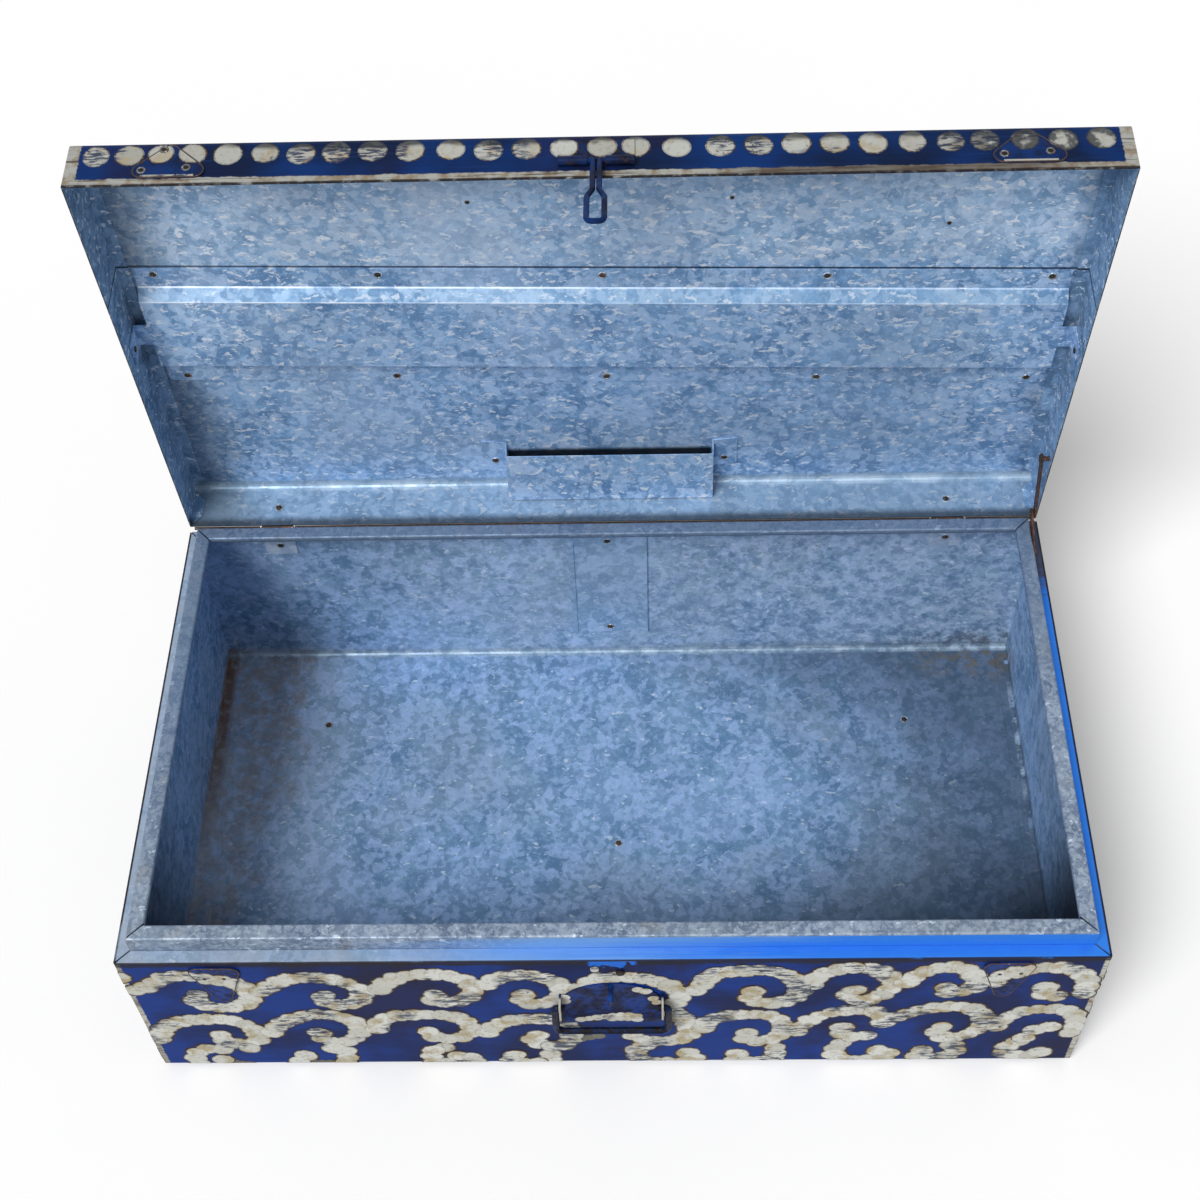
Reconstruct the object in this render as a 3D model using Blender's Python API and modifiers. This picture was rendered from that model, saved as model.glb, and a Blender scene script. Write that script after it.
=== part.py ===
"""A galvanised travel trunk standing open: folded sheet body and lid, rim, hinges, stay, hasp and handle.

Metres, +Z up. The origin is the centre of the floor's underside, the front faces -Y, and the lid stands open.
Lid pieces are written where they lie with the lid shut, under an empty on the hinge axis that opens them.
"""

import math

import bmesh
import bpy
from mathutils import Matrix, Vector

MM = 0.001

# Sheet, gaps and bends
SHEET = 0.8 * MM
GAP = 0.3 * MM
FLOOR_BEND = 6.0 * MM
LID_BEND = 6.0 * MM
LEDGE_BEND = 1.6 * MM
RIM_BEND = 1.8 * MM
BEND_STEPS = 4

# Body
WIDTH = 760.0 * MM
DEPTH = 427.0 * MM
WALL_HEIGHT = 192.0 * MM
LEDGE = 11.2 * MM
NECK = 18.0 * MM
RIM = 12.8 * MM
RIM_LIP = 4.0 * MM
RIM_FOOT = 8.0 * MM
END_FLANGE = 12.0 * MM

# Strip over the seam of the back wall
SEAM_WIDTH = 72.0 * MM
SEAM_BOTTOM = 34.0 * MM
SEAM_HEM = 5.0 * MM
SEAM_OFFSET = -4.0 * MM
SEAM_RIVET_INSET = 8.0 * MM

# Lid
LID_HEIGHT = 44.4 * MM
LID_OPEN = math.radians(85.0)
LID_FLANGE = 10.0 * MM

# Stiffening strap in the lid, measured forward from the hinge axis
STRAP_EDGE = 150.0 * MM
STRAP_FLANGE = 21.0 * MM
STRAP_SLOPE = 9.0 * MM
STRAP_CROWN = 78.0 * MM
STRAP_RISE = 9.0 * MM
STRAP_SKEW = 0.0275
STRAP_END_GAP = 2.5 * MM
STRAP_RIVETS = 5
STRAP_RIVET_MARGIN = 28.0 * MM
STRAP_RIVET_INSET = 6.5 * MM
STRAP_TAB = 24.0 * MM
STRAP_TAB_DROP = 22.0 * MM
STRAP_TAB_LAP = 8.0 * MM

# Document pocket in the lid
POCKET_WIDTH = 182.0 * MM
POCKET_TOP = 57.0 * MM
POCKET_MOUTH = 9.5 * MM
POCKET_BASE = 19.0 * MM
POCKET_EAR = 22.0 * MM
POCKET_EAR_TOP = 68.0 * MM
POCKET_EAR_FOOT = 28.0 * MM
POCKET_EAR_SLANT = 3.0 * MM
POCKET_RIVET = 40.0 * MM

# Hinges
HINGE_MARGIN = 79.0 * MM
HINGE_WIDTH = 28.0 * MM
LEAF = 1.2 * MM
LEAF_LENGTH = 32.0 * MM
BARREL = 2.4 * MM
PIN = 1.2 * MM
PIN_END = 1.0 * MM
KNUCKLE_SHARE = 0.36
HINGE_RIVET_DROP = 19.5 * MM

# Rivets
RIVET_SHANK = 1.6 * MM
RIVET_HEAD = 2.6 * MM
RIVET_DOME = 1.2 * MM
RIVET_TAIL = 0.7 * MM
RIVET_SEAT = 0.2 * MM
RIVET_STEPS = 10
FLOOR_RIVET_END_MARGIN = 106.0 * MM
FLOOR_RIVET_WALL_MARGIN = 85.5 * MM
FLOOR_RIVET_MIDDLE = 3.0 * MM

# Carrying handle on the front
HANDLE_WIDTH = 82.0 * MM
HANDLE_FOOT = 41.0 * MM
HANDLE_ARCH = 30.0 * MM
HANDLE_PLATE = 1.0 * MM
EAR = 1.5 * MM
EAR_REACH = 13.0 * MM
EAR_HEIGHT = 22.0 * MM
BAIL_WIRE = 3.0 * MM
BAIL_PIVOT_DROP = 67.0 * MM
BAIL_PIVOT_REACH = 8.0 * MM
BAIL_LEG = 42.0 * MM
BAIL_SIDE_PLAY = 0.8 * MM
BAIL_BEND = 7.0 * MM
BAIL_PIN = 3.0 * MM

# Padlock staple on the front
STAPLE_WIRE = 1.8 * MM
STAPLE_DROP = 40.0 * MM
STAPLE_PITCH = 13.5 * MM
STAPLE_REACH = 12.6 * MM
STAPLE_TAIL = 3.0 * MM
STAPLE_BEND = 4.0 * MM

# Hasp on the lid's front skirt
HASP_WIRE = 2.1 * MM
HASP_AXIS_HEIGHT = 13.5 * MM
HASP_PLATE = 1.0 * MM
HASP_PLATE_WIDTH = 54.0 * MM
HASP_PLATE_TOP = 36.0 * MM
HASP_SLOT = 13.0 * MM
HASP_AXLE = 24.0 * MM
HASP_LIFT = math.radians(12.0)
HASP_NECK = 36.0 * MM
HASP_FLARE = 9.0 * MM
HASP_LOOP = 29.0 * MM
HASP_LOOP_WIDTH = 12.3 * MM
HASP_STRAND_GAP = 0.5 * MM
HASP_BEND = 4.0 * MM

# Clasp plates left and right on the front
CLASP_MARGIN = 75.0 * MM
CLASP_PLATE = 1.0 * MM
CLASP_LID_WIDTH = 52.0 * MM
CLASP_LID_HEIGHT = 32.0 * MM
CLASP_LID_EDGE = 7.0 * MM
CLASP_BODY_WIDTH = 40.0 * MM
CLASP_BODY_HEIGHT = 58.0 * MM
CLASP_BODY_EDGE = 7.0 * MM
CLASP_ROUND = 7.0 * MM

# Folding stay at the right end, measured forward of and above the hinge axis
STAY_LINK = 1.5 * MM
STAY_WIDTH = 9.0 * MM
STAY_SIDE_GAP = 0.4 * MM
STAY_LINK_GAP = 1.3 * MM
STAY_BODY_FORWARD = 47.3 * MM
STAY_BODY_UP = 11.2 * MM
STAY_LID_FORWARD = 78.2 * MM
STAY_LID_UP = 8.0 * MM
STAY_UPPER_LENGTH = 56.0 * MM
STAY_UPPER_ANGLE = math.radians(202.1)
STAY_STUD = 2.0 * MM
STAY_STUD_HEAD = 3.6 * MM
STAY_HEAD_THICK = 1.2 * MM
STAY_PIN = 1.5 * MM
STAY_SLIDE = 10.0 * MM
STAY_SIDE_PLAY = 1.4 * MM
STAY_HOLE_PLAY = 0.3 * MM

# Places that follow from the sizes above
HALF_WIDTH = WIDTH / 2
HALF_DEPTH = DEPTH / 2
RIM_TOP = WALL_HEIGHT + NECK
LID_EDGE = WALL_HEIGHT + GAP
LID_TOP = LID_EDGE + LID_HEIGHT
LID_INSIDE = LID_TOP - SHEET - GAP
HINGE_Y = HALF_DEPTH + GAP + BARREL
HINGE_Z = WALL_HEIGHT
STRAP_PITCH = (WIDTH - 2 * STRAP_RIVET_MARGIN) / (STRAP_RIVETS - 1)
BAIL_PIVOT_HEIGHT = WALL_HEIGHT - BAIL_PIVOT_DROP
HANDLE_BOTTOM = BAIL_PIVOT_HEIGHT - HANDLE_FOOT
STAPLE_TOP = WALL_HEIGHT - STAPLE_DROP
SKIRT_INSIDE = HINGE_Y - HALF_DEPTH + SHEET + GAP
SIDE_SIGNS = {"left": -1, "right": 1}
CUT_LENGTH = 16.0 * MM


def clear_scene():
    for old in list(bpy.data.objects):
        bpy.data.objects.remove(old, do_unlink=True)


def new_collection(name):
    made = bpy.data.collections.new(name)
    bpy.context.scene.collection.children.link(made)
    return made


def new_material(name, colour, roughness, metallic):
    made = bpy.data.materials.new(name)
    made.use_nodes = True
    shader = made.node_tree.nodes["Principled BSDF"]
    shader.inputs["Base Color"].default_value = (*colour, 1.0)
    shader.inputs["Roughness"].default_value = roughness
    shader.inputs["Metallic"].default_value = metallic
    return made


clear_scene()
PARTS = new_collection("travel_trunk")
CUTTERS = new_collection("travel_trunk_cutters")
GALVANISED = new_material("galvanised_sheet", (0.30, 0.41, 0.54), 0.45, 0.75)
RIM_ZINC = new_material("dull_zinc_rim", (0.42, 0.48, 0.55), 0.55, 0.6)
PAINTED = new_material("navy_painted_steel", (0.016, 0.028, 0.16), 0.5, 0.0)
BLUE_WIRE = new_material("blue_painted_wire", (0.012, 0.04, 0.2), 0.4, 0.0)
BARE_STEEL = new_material("worn_steel", (0.30, 0.27, 0.24), 0.5, 0.8)
RUSTY_STEEL = new_material("rusty_steel", (0.09, 0.05, 0.035), 0.75, 0.3)
RIVET_STEEL = new_material("rivet_steel", (0.25, 0.24, 0.23), 0.45, 0.85)


def add_empty(name, location, turn_x=0.0, parent=None):
    """An empty on a joint's axis, turned about X, that carries the pieces of a moving body."""
    made = bpy.data.objects.new(name, None)
    made.location = location
    made.rotation_euler.x = turn_x
    made.parent = parent
    PARTS.objects.link(made)
    return made


def add_object(name, data, material, parent=None, turn=None, place=(0.0, 0.0, 0.0)):
    made = bpy.data.objects.new(name, data)
    if material is None:
        CUTTERS.objects.link(made)
        made.hide_render = True
        made.display_type = "WIRE"
    else:
        data.materials.append(material)
        PARTS.objects.link(made)
    made.parent = parent
    made.matrix_local = Matrix.Translation(place) @ (turn or Matrix.Identity(4))
    return made


def mesh_from(name, build):
    """A mesh named name from build, a function that fills an empty bmesh."""
    work = bmesh.new()
    build(work)
    data = bpy.data.meshes.new(name)
    work.to_mesh(data)
    work.free()
    return data


def add_box(name, low, high, material, parent=None):
    centre = (Vector(low) + Vector(high)) / 2
    size = Vector(high) - Vector(low)
    shape = Matrix.Translation(centre) @ Matrix.Diagonal((*size, 1.0))

    def build(work):
        bmesh.ops.create_cube(work, size=1.0, matrix=shape)

    return add_object(name, mesh_from(name, build), material, parent)


def along_x(x, y, z):
    """The turn and place of a cylinder whose axis runs along X through this point."""
    return Matrix.Translation((x, y, z)) @ Matrix.Rotation(math.pi / 2, 4, "Y")


def add_rods(name, shapes, radius, length, material, parent=None, sides=16):
    """One object of cylinders, each centred and turned by one of the matrices in shapes."""

    def build(work):
        for shape in shapes:
            bmesh.ops.create_cone(
                work,
                cap_ends=True,
                segments=sides,
                radius1=radius,
                radius2=radius,
                depth=length,
                matrix=shape,
            )

    return add_object(name, mesh_from(name, build), material, parent)


def boolean(target, other, operation):
    made = target.modifiers.new(f"{operation.lower()}_{other.name}", "BOOLEAN")
    made.object = other
    made.operation = operation


def cut(target, *cutters):
    for cutter in cutters:
        boolean(target, cutter, "DIFFERENCE")


def join(target, *others):
    for other in others:
        boolean(target, other, "UNION")


def rounded(corners, radii, closed=False):
    """Points along a path of straight runs whose corners are arcs of these radii, with 0 for a sharp one."""
    points = [Vector(corner) for corner in corners]
    count = len(points)
    path = []
    for index, corner in enumerate(points):
        at_end = not closed and index in (0, count - 1)
        if at_end or radii[index] == 0:
            path.append(corner)
            continue
        before = (points[index - 1] - corner).normalized()
        after = (points[(index + 1) % count] - corner).normalized()
        opening = before.angle(after)
        radius = radii[index]
        bisector = (before + after).normalized()
        centre = corner + bisector * radius / math.sin(opening / 2)
        start = corner + before * radius / math.tan(opening / 2) - centre
        end = corner + after * radius / math.tan(opening / 2) - centre
        sweep = start.angle(end)
        for step in range(BEND_STEPS + 1):
            part = step / BEND_STEPS
            first = math.sin((1 - part) * sweep) / math.sin(sweep)
            second = math.sin(part * sweep) / math.sin(sweep)
            path.append(centre + start * first + end * second)
    return path


def flat_path(corners, radii):
    """The same for a path in a plane, given and returned as pairs."""
    return [(first, second) for first, second, _ in rounded([(*corner, 0.0) for corner in corners], radii)]


def thicken(piece, side):
    """Give a folded surface the sheet's thickness, even at its mitred corners."""
    wall = piece.modifiers.new("sheet", "SOLIDIFY")
    wall.solidify_mode = "NON_MANIFOLD"
    wall.nonmanifold_thickness_mode = "CONSTRAINTS"
    wall.thickness = SHEET
    wall.offset = side


def add_folded(name, rails, material, parent=None, inward=True):
    """A folded sheet between two rails, lists of matching points, thickened to one side of its faces."""
    first, last = rails

    def build(work):
        corners = [work.verts.new(point) for point in first]
        edges = [work.edges.new(pair) for pair in zip(corners, corners[1:])]
        grown = bmesh.ops.extrude_edge_only(work, edges=edges)["geom"]
        moved = [item for item in grown if isinstance(item, bmesh.types.BMVert)]
        ends = {tuple(start): finish for start, finish in zip(map(tuple, first), last)}
        keys = {tuple(corner.co): ends[tuple(point)] for corner, point in zip(corners, first)}
        for vertex in moved:
            vertex.co = keys[tuple(vertex.co)]

    made = add_object(name, mesh_from(name, build), material, parent)
    thicken(made, -1.0 if inward else 1.0)
    return made


def add_outline(name, corners, radii, thickness, turn, place, material, parent=None):
    """A flat plate of this outline with rounded corners, as a mesh that can be cut and joined."""
    curve = bpy.data.curves.new(name, "CURVE")
    curve.dimensions = "2D"
    curve.fill_mode = "BOTH"
    curve.extrude = thickness / 2
    path = rounded([(*corner, 0.0) for corner in corners], radii, closed=True)
    line = curve.splines.new("POLY")
    line.points.add(len(path) - 1)
    for point, place_on_path in zip(line.points, path):
        point.co = (*place_on_path, 1.0)
    line.use_cyclic_u = True
    return add_object(name, plain_mesh(name, curve), material, parent, turn, place)


def add_wire(name, path, radius, material, parent=None, place=(0.0, 0.0, 0.0)):
    """A round wire with closed ends along these points, as a plain mesh."""
    curve = bpy.data.curves.new(name, "CURVE")
    curve.dimensions = "3D"
    curve.bevel_depth = radius
    curve.bevel_resolution = 2
    curve.use_fill_caps = True
    line = curve.splines.new("POLY")
    line.points.add(len(path) - 1)
    for point, place_on_path in zip(line.points, path):
        point.co = (*place_on_path, 1.0)
    return add_object(name, plain_mesh(name, curve), material, parent, place=place)


def plain_mesh(name, curve):
    """The welded mesh of a curve, whose caps come loose."""
    carrier = bpy.data.objects.new(f"{name}_curve", curve)
    bpy.context.scene.collection.objects.link(carrier)
    graph = bpy.context.evaluated_depsgraph_get()
    data = bpy.data.meshes.new_from_object(carrier.evaluated_get(graph))
    bpy.data.objects.remove(carrier, do_unlink=True)
    bpy.data.curves.remove(curve)
    work = bmesh.new()
    work.from_mesh(data)
    bmesh.ops.remove_doubles(work, verts=work.verts, dist=0.01 * MM)
    bmesh.ops.recalc_face_normals(work, faces=work.faces)
    work.to_mesh(data)
    work.free()
    data.name = name
    return data


def mirrored_ends(points, half_lengths):
    """Two rails along X: the same section at minus and plus its own half length."""
    low = [(-half, y, z) for (y, z), half in zip(points, half_lengths)]
    high = [(half, y, z) for (y, z), half in zip(points, half_lengths)]
    return low, high


def add_body_tray():
    """Front wall, floor and back wall bent from one sheet, with a ledge turned in along both top edges."""
    inner = LEDGE - GAP
    corners = [
        (-HALF_DEPTH + inner, WALL_HEIGHT),
        (-HALF_DEPTH, WALL_HEIGHT),
        (-HALF_DEPTH, 0.0),
        (HALF_DEPTH, 0.0),
        (HALF_DEPTH, WALL_HEIGHT),
        (HALF_DEPTH - inner, WALL_HEIGHT),
    ]
    radii = [0.0, LEDGE_BEND, FLOOR_BEND, FLOOR_BEND, LEDGE_BEND, 0.0]
    section = flat_path(corners, radii)
    on_ledge = [z > WALL_HEIGHT - LEDGE_BEND for _, z in section]
    halves = [
        HALF_WIDTH - (HALF_DEPTH - abs(y)) - SHEET - GAP if ledge else HALF_WIDTH
        for (y, _), ledge in zip(section, on_ledge)
    ]
    return add_folded("body_tray", mirrored_ends(section, halves), GALVANISED, inward=False)


def add_end_pan(name, side, bottom, top, corner, flanges, material, parent=None):
    """An end panel with flanges turned in square to it, mitred at the corners.

    side is -1 or 1, corner is the radius and the edge ('low' or 'high') that has rounded corners, and
    flanges gives the width turned in along each of the edges low, high, front and back.
    """
    half = HALF_DEPTH - SHEET - GAP
    radius, round_edge = corner
    middle = (bottom + top) / 2

    def build(work):
        shape = Matrix.Translation((side * HALF_WIDTH, 0.0, middle)) @ Matrix.Rotation(
            side * math.pi / 2, 4, "Y"
        )
        stretch = Matrix.Diagonal(((top - bottom) / 2, half, 1.0, 1.0))
        bmesh.ops.create_grid(work, x_segments=1, y_segments=1, size=1.0, matrix=shape @ stretch)
        rounds = [v for v in work.verts if (v.co.z < middle) == (round_edge == "low")]
        bmesh.ops.bevel(
            work,
            geom=rounds,
            offset=radius,
            offset_type="OFFSET",
            affect="VERTICES",
            segments=BEND_STEPS,
            profile=0.5,
        )
        for edge in list(work.edges):
            ends = [vertex.co.copy() for vertex in edge.verts]
            run = ends[1] - ends[0]
            if abs(run.y) > abs(run.z) * 2:
                kind = "low" if ends[0].z < middle else "high"
            elif abs(run.z) > abs(run.y) * 2:
                kind = "front" if ends[0].y < 0 else "back"
            else:
                continue
            if run.length < radius or kind not in flanges:
                continue
            turned = bmesh.ops.extrude_edge_only(work, edges=[edge])["geom"]
            width = flanges[kind]
            centre = (ends[0] + ends[1]) / 2
            for vertex in turned:
                if isinstance(vertex, bmesh.types.BMVert):
                    mitre = (centre - vertex.co).normalized() * width
                    vertex.co += mitre + Vector((-side * width, 0.0, 0.0))
        bmesh.ops.recalc_face_normals(work, faces=work.faces)
        plate = max(work.faces, key=lambda face: face.calc_area())
        if plate.normal.x * side < 0:
            bmesh.ops.reverse_faces(work, faces=work.faces)

    made = add_object(name, mesh_from(name, build), material, parent)
    thicken(made, -1.0)
    return made


def add_rim(name, half_run, half_reach, turn, mitre):
    """One side of the rim: a foot under the ledge, an upright neck and a top flange with a lip turned down.

    half_run is half the trunk's size along the strip, half_reach half its size across it.
    """
    foot = WALL_HEIGHT - SHEET - GAP
    corners = [
        (LEDGE - RIM_FOOT, foot),
        (LEDGE, foot),
        (LEDGE, RIM_TOP),
        (LEDGE + RIM, RIM_TOP),
        (LEDGE + RIM, RIM_TOP - RIM_LIP),
    ]
    section = flat_path(corners, [0.0, 0.0, RIM_BEND, RIM_BEND, 0.0])
    points = [(inset - half_reach, z) for inset, z in section]
    halves = [half_run - inset - mitre for inset, _ in section]
    made = add_folded(name, mirrored_ends(points, halves), RIM_ZINC)
    made.matrix_local = Matrix.Rotation(turn, 4, "Z")
    return made


def add_rivet(name, turn, place, grip, parent=None, tail=RIVET_TAIL):
    """A rivet with a domed head on the inside, its shank through grip, and a flat tail, or none if tail is 0."""
    profile = [
        (0.0, RIVET_SEAT + RIVET_DOME),
        (0.6 * RIVET_HEAD, RIVET_SEAT + 0.82 * RIVET_DOME),
        (0.92 * RIVET_HEAD, RIVET_SEAT + 0.4 * RIVET_DOME),
        (RIVET_HEAD, RIVET_SEAT),
        (RIVET_SHANK, RIVET_SEAT),
    ]
    if tail > 0:
        low = -grip - RIVET_SEAT
        profile += [
            (RIVET_SHANK, low),
            (RIVET_HEAD, low),
            (0.8 * RIVET_HEAD, low - tail),
            (0.0, low - tail),
        ]
    else:
        profile += [(RIVET_SHANK, -grip), (0.0, -grip)]

    def build(work):
        corners = [work.verts.new((radius, 0.0, height)) for radius, height in profile]
        for pair in zip(corners, corners[1:]):
            work.edges.new(pair)

    made = add_object(name, mesh_from(name, build), RIVET_STEEL, parent, turn, place)
    spin = made.modifiers.new("turned", "SCREW")
    spin.steps = RIVET_STEPS
    spin.render_steps = RIVET_STEPS
    spin.use_merge_vertices = True
    spin.merge_threshold = 0.01 * MM
    return made


def rivet_holes(name, turn, places, parent=None):
    """A cutter with one clearance hole at each place."""
    shapes = [Matrix.Translation(place) @ turn for place in places]
    radius = RIVET_SHANK + GAP
    return add_rods(name, shapes, radius, CUT_LENGTH, None, parent, RIVET_STEPS)


FACE_UP = Matrix.Identity(4)
FACE_DOWN = Matrix.Rotation(math.pi, 4, "X")
FACE_FRONT = Matrix.Rotation(math.pi / 2, 4, "X")


def add_body():
    """Tray, end panels, rim and the strip over the back seam, with their rivets."""
    tray = add_body_tray()
    floor_bend = FLOOR_BEND - SHEET - GAP
    turned_in = {"low": END_FLANGE, "front": END_FLANGE, "back": END_FLANGE, "high": LEDGE - GAP}
    for word, side in SIDE_SIGNS.items():
        add_end_pan(
            f"end_panel_{word}",
            side,
            SHEET + GAP,
            WALL_HEIGHT,
            (floor_bend, "low"),
            turned_in,
            GALVANISED,
        )
    slit = 2 * SHEET + GAP
    add_rim("rim_front", HALF_WIDTH, HALF_DEPTH, 0.0, 0.0)
    add_rim("rim_back", HALF_WIDTH, HALF_DEPTH, math.pi, 0.0)
    add_rim("rim_left", HALF_DEPTH, HALF_WIDTH, -math.pi / 2, slit)
    add_rim("rim_right", HALF_DEPTH, HALF_WIDTH, math.pi / 2, slit)
    add_floor_rivets(tray)
    add_seam_strip(tray)
    return tray


def add_floor_rivets(tray):
    places = [(FLOOR_RIVET_MIDDLE, -FLOOR_RIVET_MIDDLE, SHEET)]
    far_x = HALF_WIDTH - FLOOR_RIVET_END_MARGIN
    far_y = HALF_DEPTH - FLOOR_RIVET_WALL_MARGIN
    for x in (-far_x, far_x):
        for y in (-far_y, far_y):
            places.append((x, y, SHEET))
    cut(tray, rivet_holes("floor_holes", FACE_UP, places))
    for number, place in enumerate(places, 1):
        add_rivet(f"floor_rivet_{number}", FACE_UP, place, SHEET, tail=0.0)


def add_seam_strip(tray):
    """A strip riveted over the seam of the back wall, both long edges folded back on themselves."""
    outer = SEAM_WIDTH / 2
    flat = SEAM_WIDTH / 2 - SEAM_HEM
    top = WALL_HEIGHT - SHEET - 2 * GAP
    section = [
        (-outer, 0.0),
        (outer, 0.0),
        (outer, 2 * SHEET),
        (flat, 2 * SHEET),
        (flat, SHEET),
        (-flat, SHEET),
        (-flat, 2 * SHEET),
        (-outer, 2 * SHEET),
    ]
    wall = HALF_DEPTH - SHEET
    upright = Matrix.Rotation(math.pi, 4, "X")
    strip = add_outline(
        "back_seam_strip",
        section,
        [0.0] * len(section),
        top - SEAM_BOTTOM,
        upright,
        (SEAM_OFFSET, wall - GAP, (top + SEAM_BOTTOM) / 2),
        GALVANISED,
    )
    inside = wall - GAP - SHEET
    heights = {
        "top": WALL_HEIGHT - HINGE_RIVET_DROP,
        "bottom": SEAM_BOTTOM + SEAM_RIVET_INSET,
    }
    places = {word: (SEAM_OFFSET, inside, z) for word, z in heights.items()}
    holes = rivet_holes("seam_holes", FACE_FRONT, places.values())
    cut(tray, holes)
    cut(strip, holes)
    for word, place in places.items():
        add_rivet(f"seam_rivet_{word}", FACE_FRONT, place, 2 * SHEET + GAP)


def add_lid(axis):
    """Lid pan, its two ends, the stiffening strap and the document pocket."""
    y0, z0 = HINGE_Y, HINGE_Z
    corners = [
        (-HALF_DEPTH - y0, LID_EDGE - z0),
        (-HALF_DEPTH - y0, LID_TOP - z0),
        (HALF_DEPTH - y0, LID_TOP - z0),
        (HALF_DEPTH - y0, LID_EDGE - z0),
    ]
    radii = [0.0, LID_BEND, LID_BEND, 0.0]
    section = flat_path(corners, radii)
    halves = [HALF_WIDTH] * len(section)
    pan = add_folded("lid_pan", mirrored_ends(section, halves), GALVANISED, axis)
    bend = LID_BEND - SHEET - GAP
    turned_in = {"high": LID_FLANGE, "front": LID_FLANGE, "back": LID_FLANGE}
    ends = {}
    for word, side in SIDE_SIGNS.items():
        ends[word] = add_end_pan(
            f"lid_end_{word}", side, LID_EDGE, LID_INSIDE, (bend, "high"), turned_in, GALVANISED, axis
        )
        ends[word].matrix_local = Matrix.Translation((0.0, -y0, -z0))
    add_strap(axis, pan, ends)
    add_pocket(axis, pan)
    return pan


def add_strap(axis, pan, ends):
    """A hat section across the lid, set a little askew, with a tab at each end folded onto the lid's end."""
    panel = LID_INSIDE - HINGE_Z
    half = HALF_WIDTH - LID_FLANGE - STRAP_END_GAP
    runs = [0.0, STRAP_FLANGE, STRAP_SLOPE, STRAP_CROWN, STRAP_SLOPE, STRAP_FLANGE]
    drops = [0.0, 0.0, STRAP_RISE, STRAP_RISE, 0.0, 0.0]
    forward = []
    reach = STRAP_EDGE
    for run in runs:
        reach += run
        forward.append(reach)
    rails = []
    for x in (-half, half):
        rails.append([(x, STRAP_SKEW * x - run, panel - drop) for run, drop in zip(forward, drops)])
    strap = add_folded("lid_strap", rails, GALVANISED, axis, inward=False)
    crown = panel - STRAP_RISE
    crown_middle = (forward[2] + forward[3]) / 2
    tab_rivets = {}
    for word, side in SIDE_SIGNS.items():
        wall = side * (HALF_WIDTH - SHEET - GAP)
        middle = -crown_middle + STRAP_SKEW * side * half
        low_y, high_y = middle - STRAP_TAB / 2, middle + STRAP_TAB / 2
        sheet_low = crown - SHEET - GAP
        inner = side * (half - STRAP_TAB_LAP)
        lap = add_box(
            f"strap_lap_{word}",
            (min(inner, wall), low_y, sheet_low),
            (max(inner, wall), high_y, sheet_low + SHEET),
            None,
            axis,
        )
        face = wall - side * SHEET
        drop = add_box(
            f"strap_drop_{word}",
            (min(face, wall), low_y, crown - STRAP_TAB_DROP),
            (max(face, wall), high_y, sheet_low + SHEET / 2),
            None,
            axis,
        )
        join(strap, lap, drop)
        tab_rivets[word] = (face, middle, crown - STRAP_TAB_DROP + STRAP_RIVET_INSET)
        turn = Matrix.Rotation(-side * math.pi / 2, 4, "Y")
        holes = rivet_holes(f"strap_end_hole_{word}", turn, [tab_rivets[word]], axis)
        cut(strap, holes)
        cut(ends[word], holes)
        add_rivet(f"strap_end_rivet_{word}", turn, tab_rivets[word], 2 * SHEET + GAP, axis)
    rows = {
        "lower": STRAP_EDGE + STRAP_RIVET_INSET,
        "upper": reach - STRAP_RIVET_INSET,
    }
    for row, distance in rows.items():
        places = []
        for number in range(STRAP_RIVETS):
            x = -HALF_WIDTH + STRAP_RIVET_MARGIN + number * STRAP_PITCH
            places.append((x, STRAP_SKEW * x - distance, panel - SHEET))
        holes = rivet_holes(f"strap_holes_{row}", FACE_DOWN, places, axis)
        cut(strap, holes)
        cut(pan, holes)
        for number, place in enumerate(places, 1):
            add_rivet(f"strap_rivet_{row}_{number}", FACE_DOWN, place, 2 * SHEET + GAP, axis)


def add_pocket(axis, pan):
    """A folded plate that stands off the lid panel, its mouth towards the front, with a riveted ear each side."""
    panel = LID_INSIDE - HINGE_Z
    half = POCKET_WIDTH / 2
    foot = SKIRT_INSIDE + SHEET
    columns = [
        (half + POCKET_EAR, POCKET_EAR_TOP, POCKET_EAR_FOOT + POCKET_EAR_SLANT, 0.0, 0.0),
        (half, POCKET_EAR_TOP - POCKET_EAR_SLANT, POCKET_EAR_FOOT, 0.0, 0.0),
        (half, POCKET_TOP, foot, POCKET_MOUTH, POCKET_BASE),
    ]
    mirrored = [(-x, *rest) for x, *rest in columns]
    mouth_rail = []
    foot_rail = []
    for x, mouth, base, mouth_drop, base_drop in mirrored + columns[::-1]:
        mouth_rail.append((x, -mouth, panel - mouth_drop))
        foot_rail.append((x, -base, panel - base_drop))
    pocket = add_folded("lid_pocket", (foot_rail, mouth_rail), GALVANISED, axis)
    place_x = half + POCKET_EAR / 2
    places = {word: (sign * place_x, -POCKET_RIVET, panel - SHEET) for word, sign in SIDE_SIGNS.items()}
    holes = rivet_holes("pocket_holes", FACE_DOWN, places.values(), axis)
    cut(pan, holes)
    cut(pocket, holes)
    for word, place in places.items():
        add_rivet(f"pocket_rivet_{word}", FACE_DOWN, place, 2 * SHEET + GAP, axis)


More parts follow.
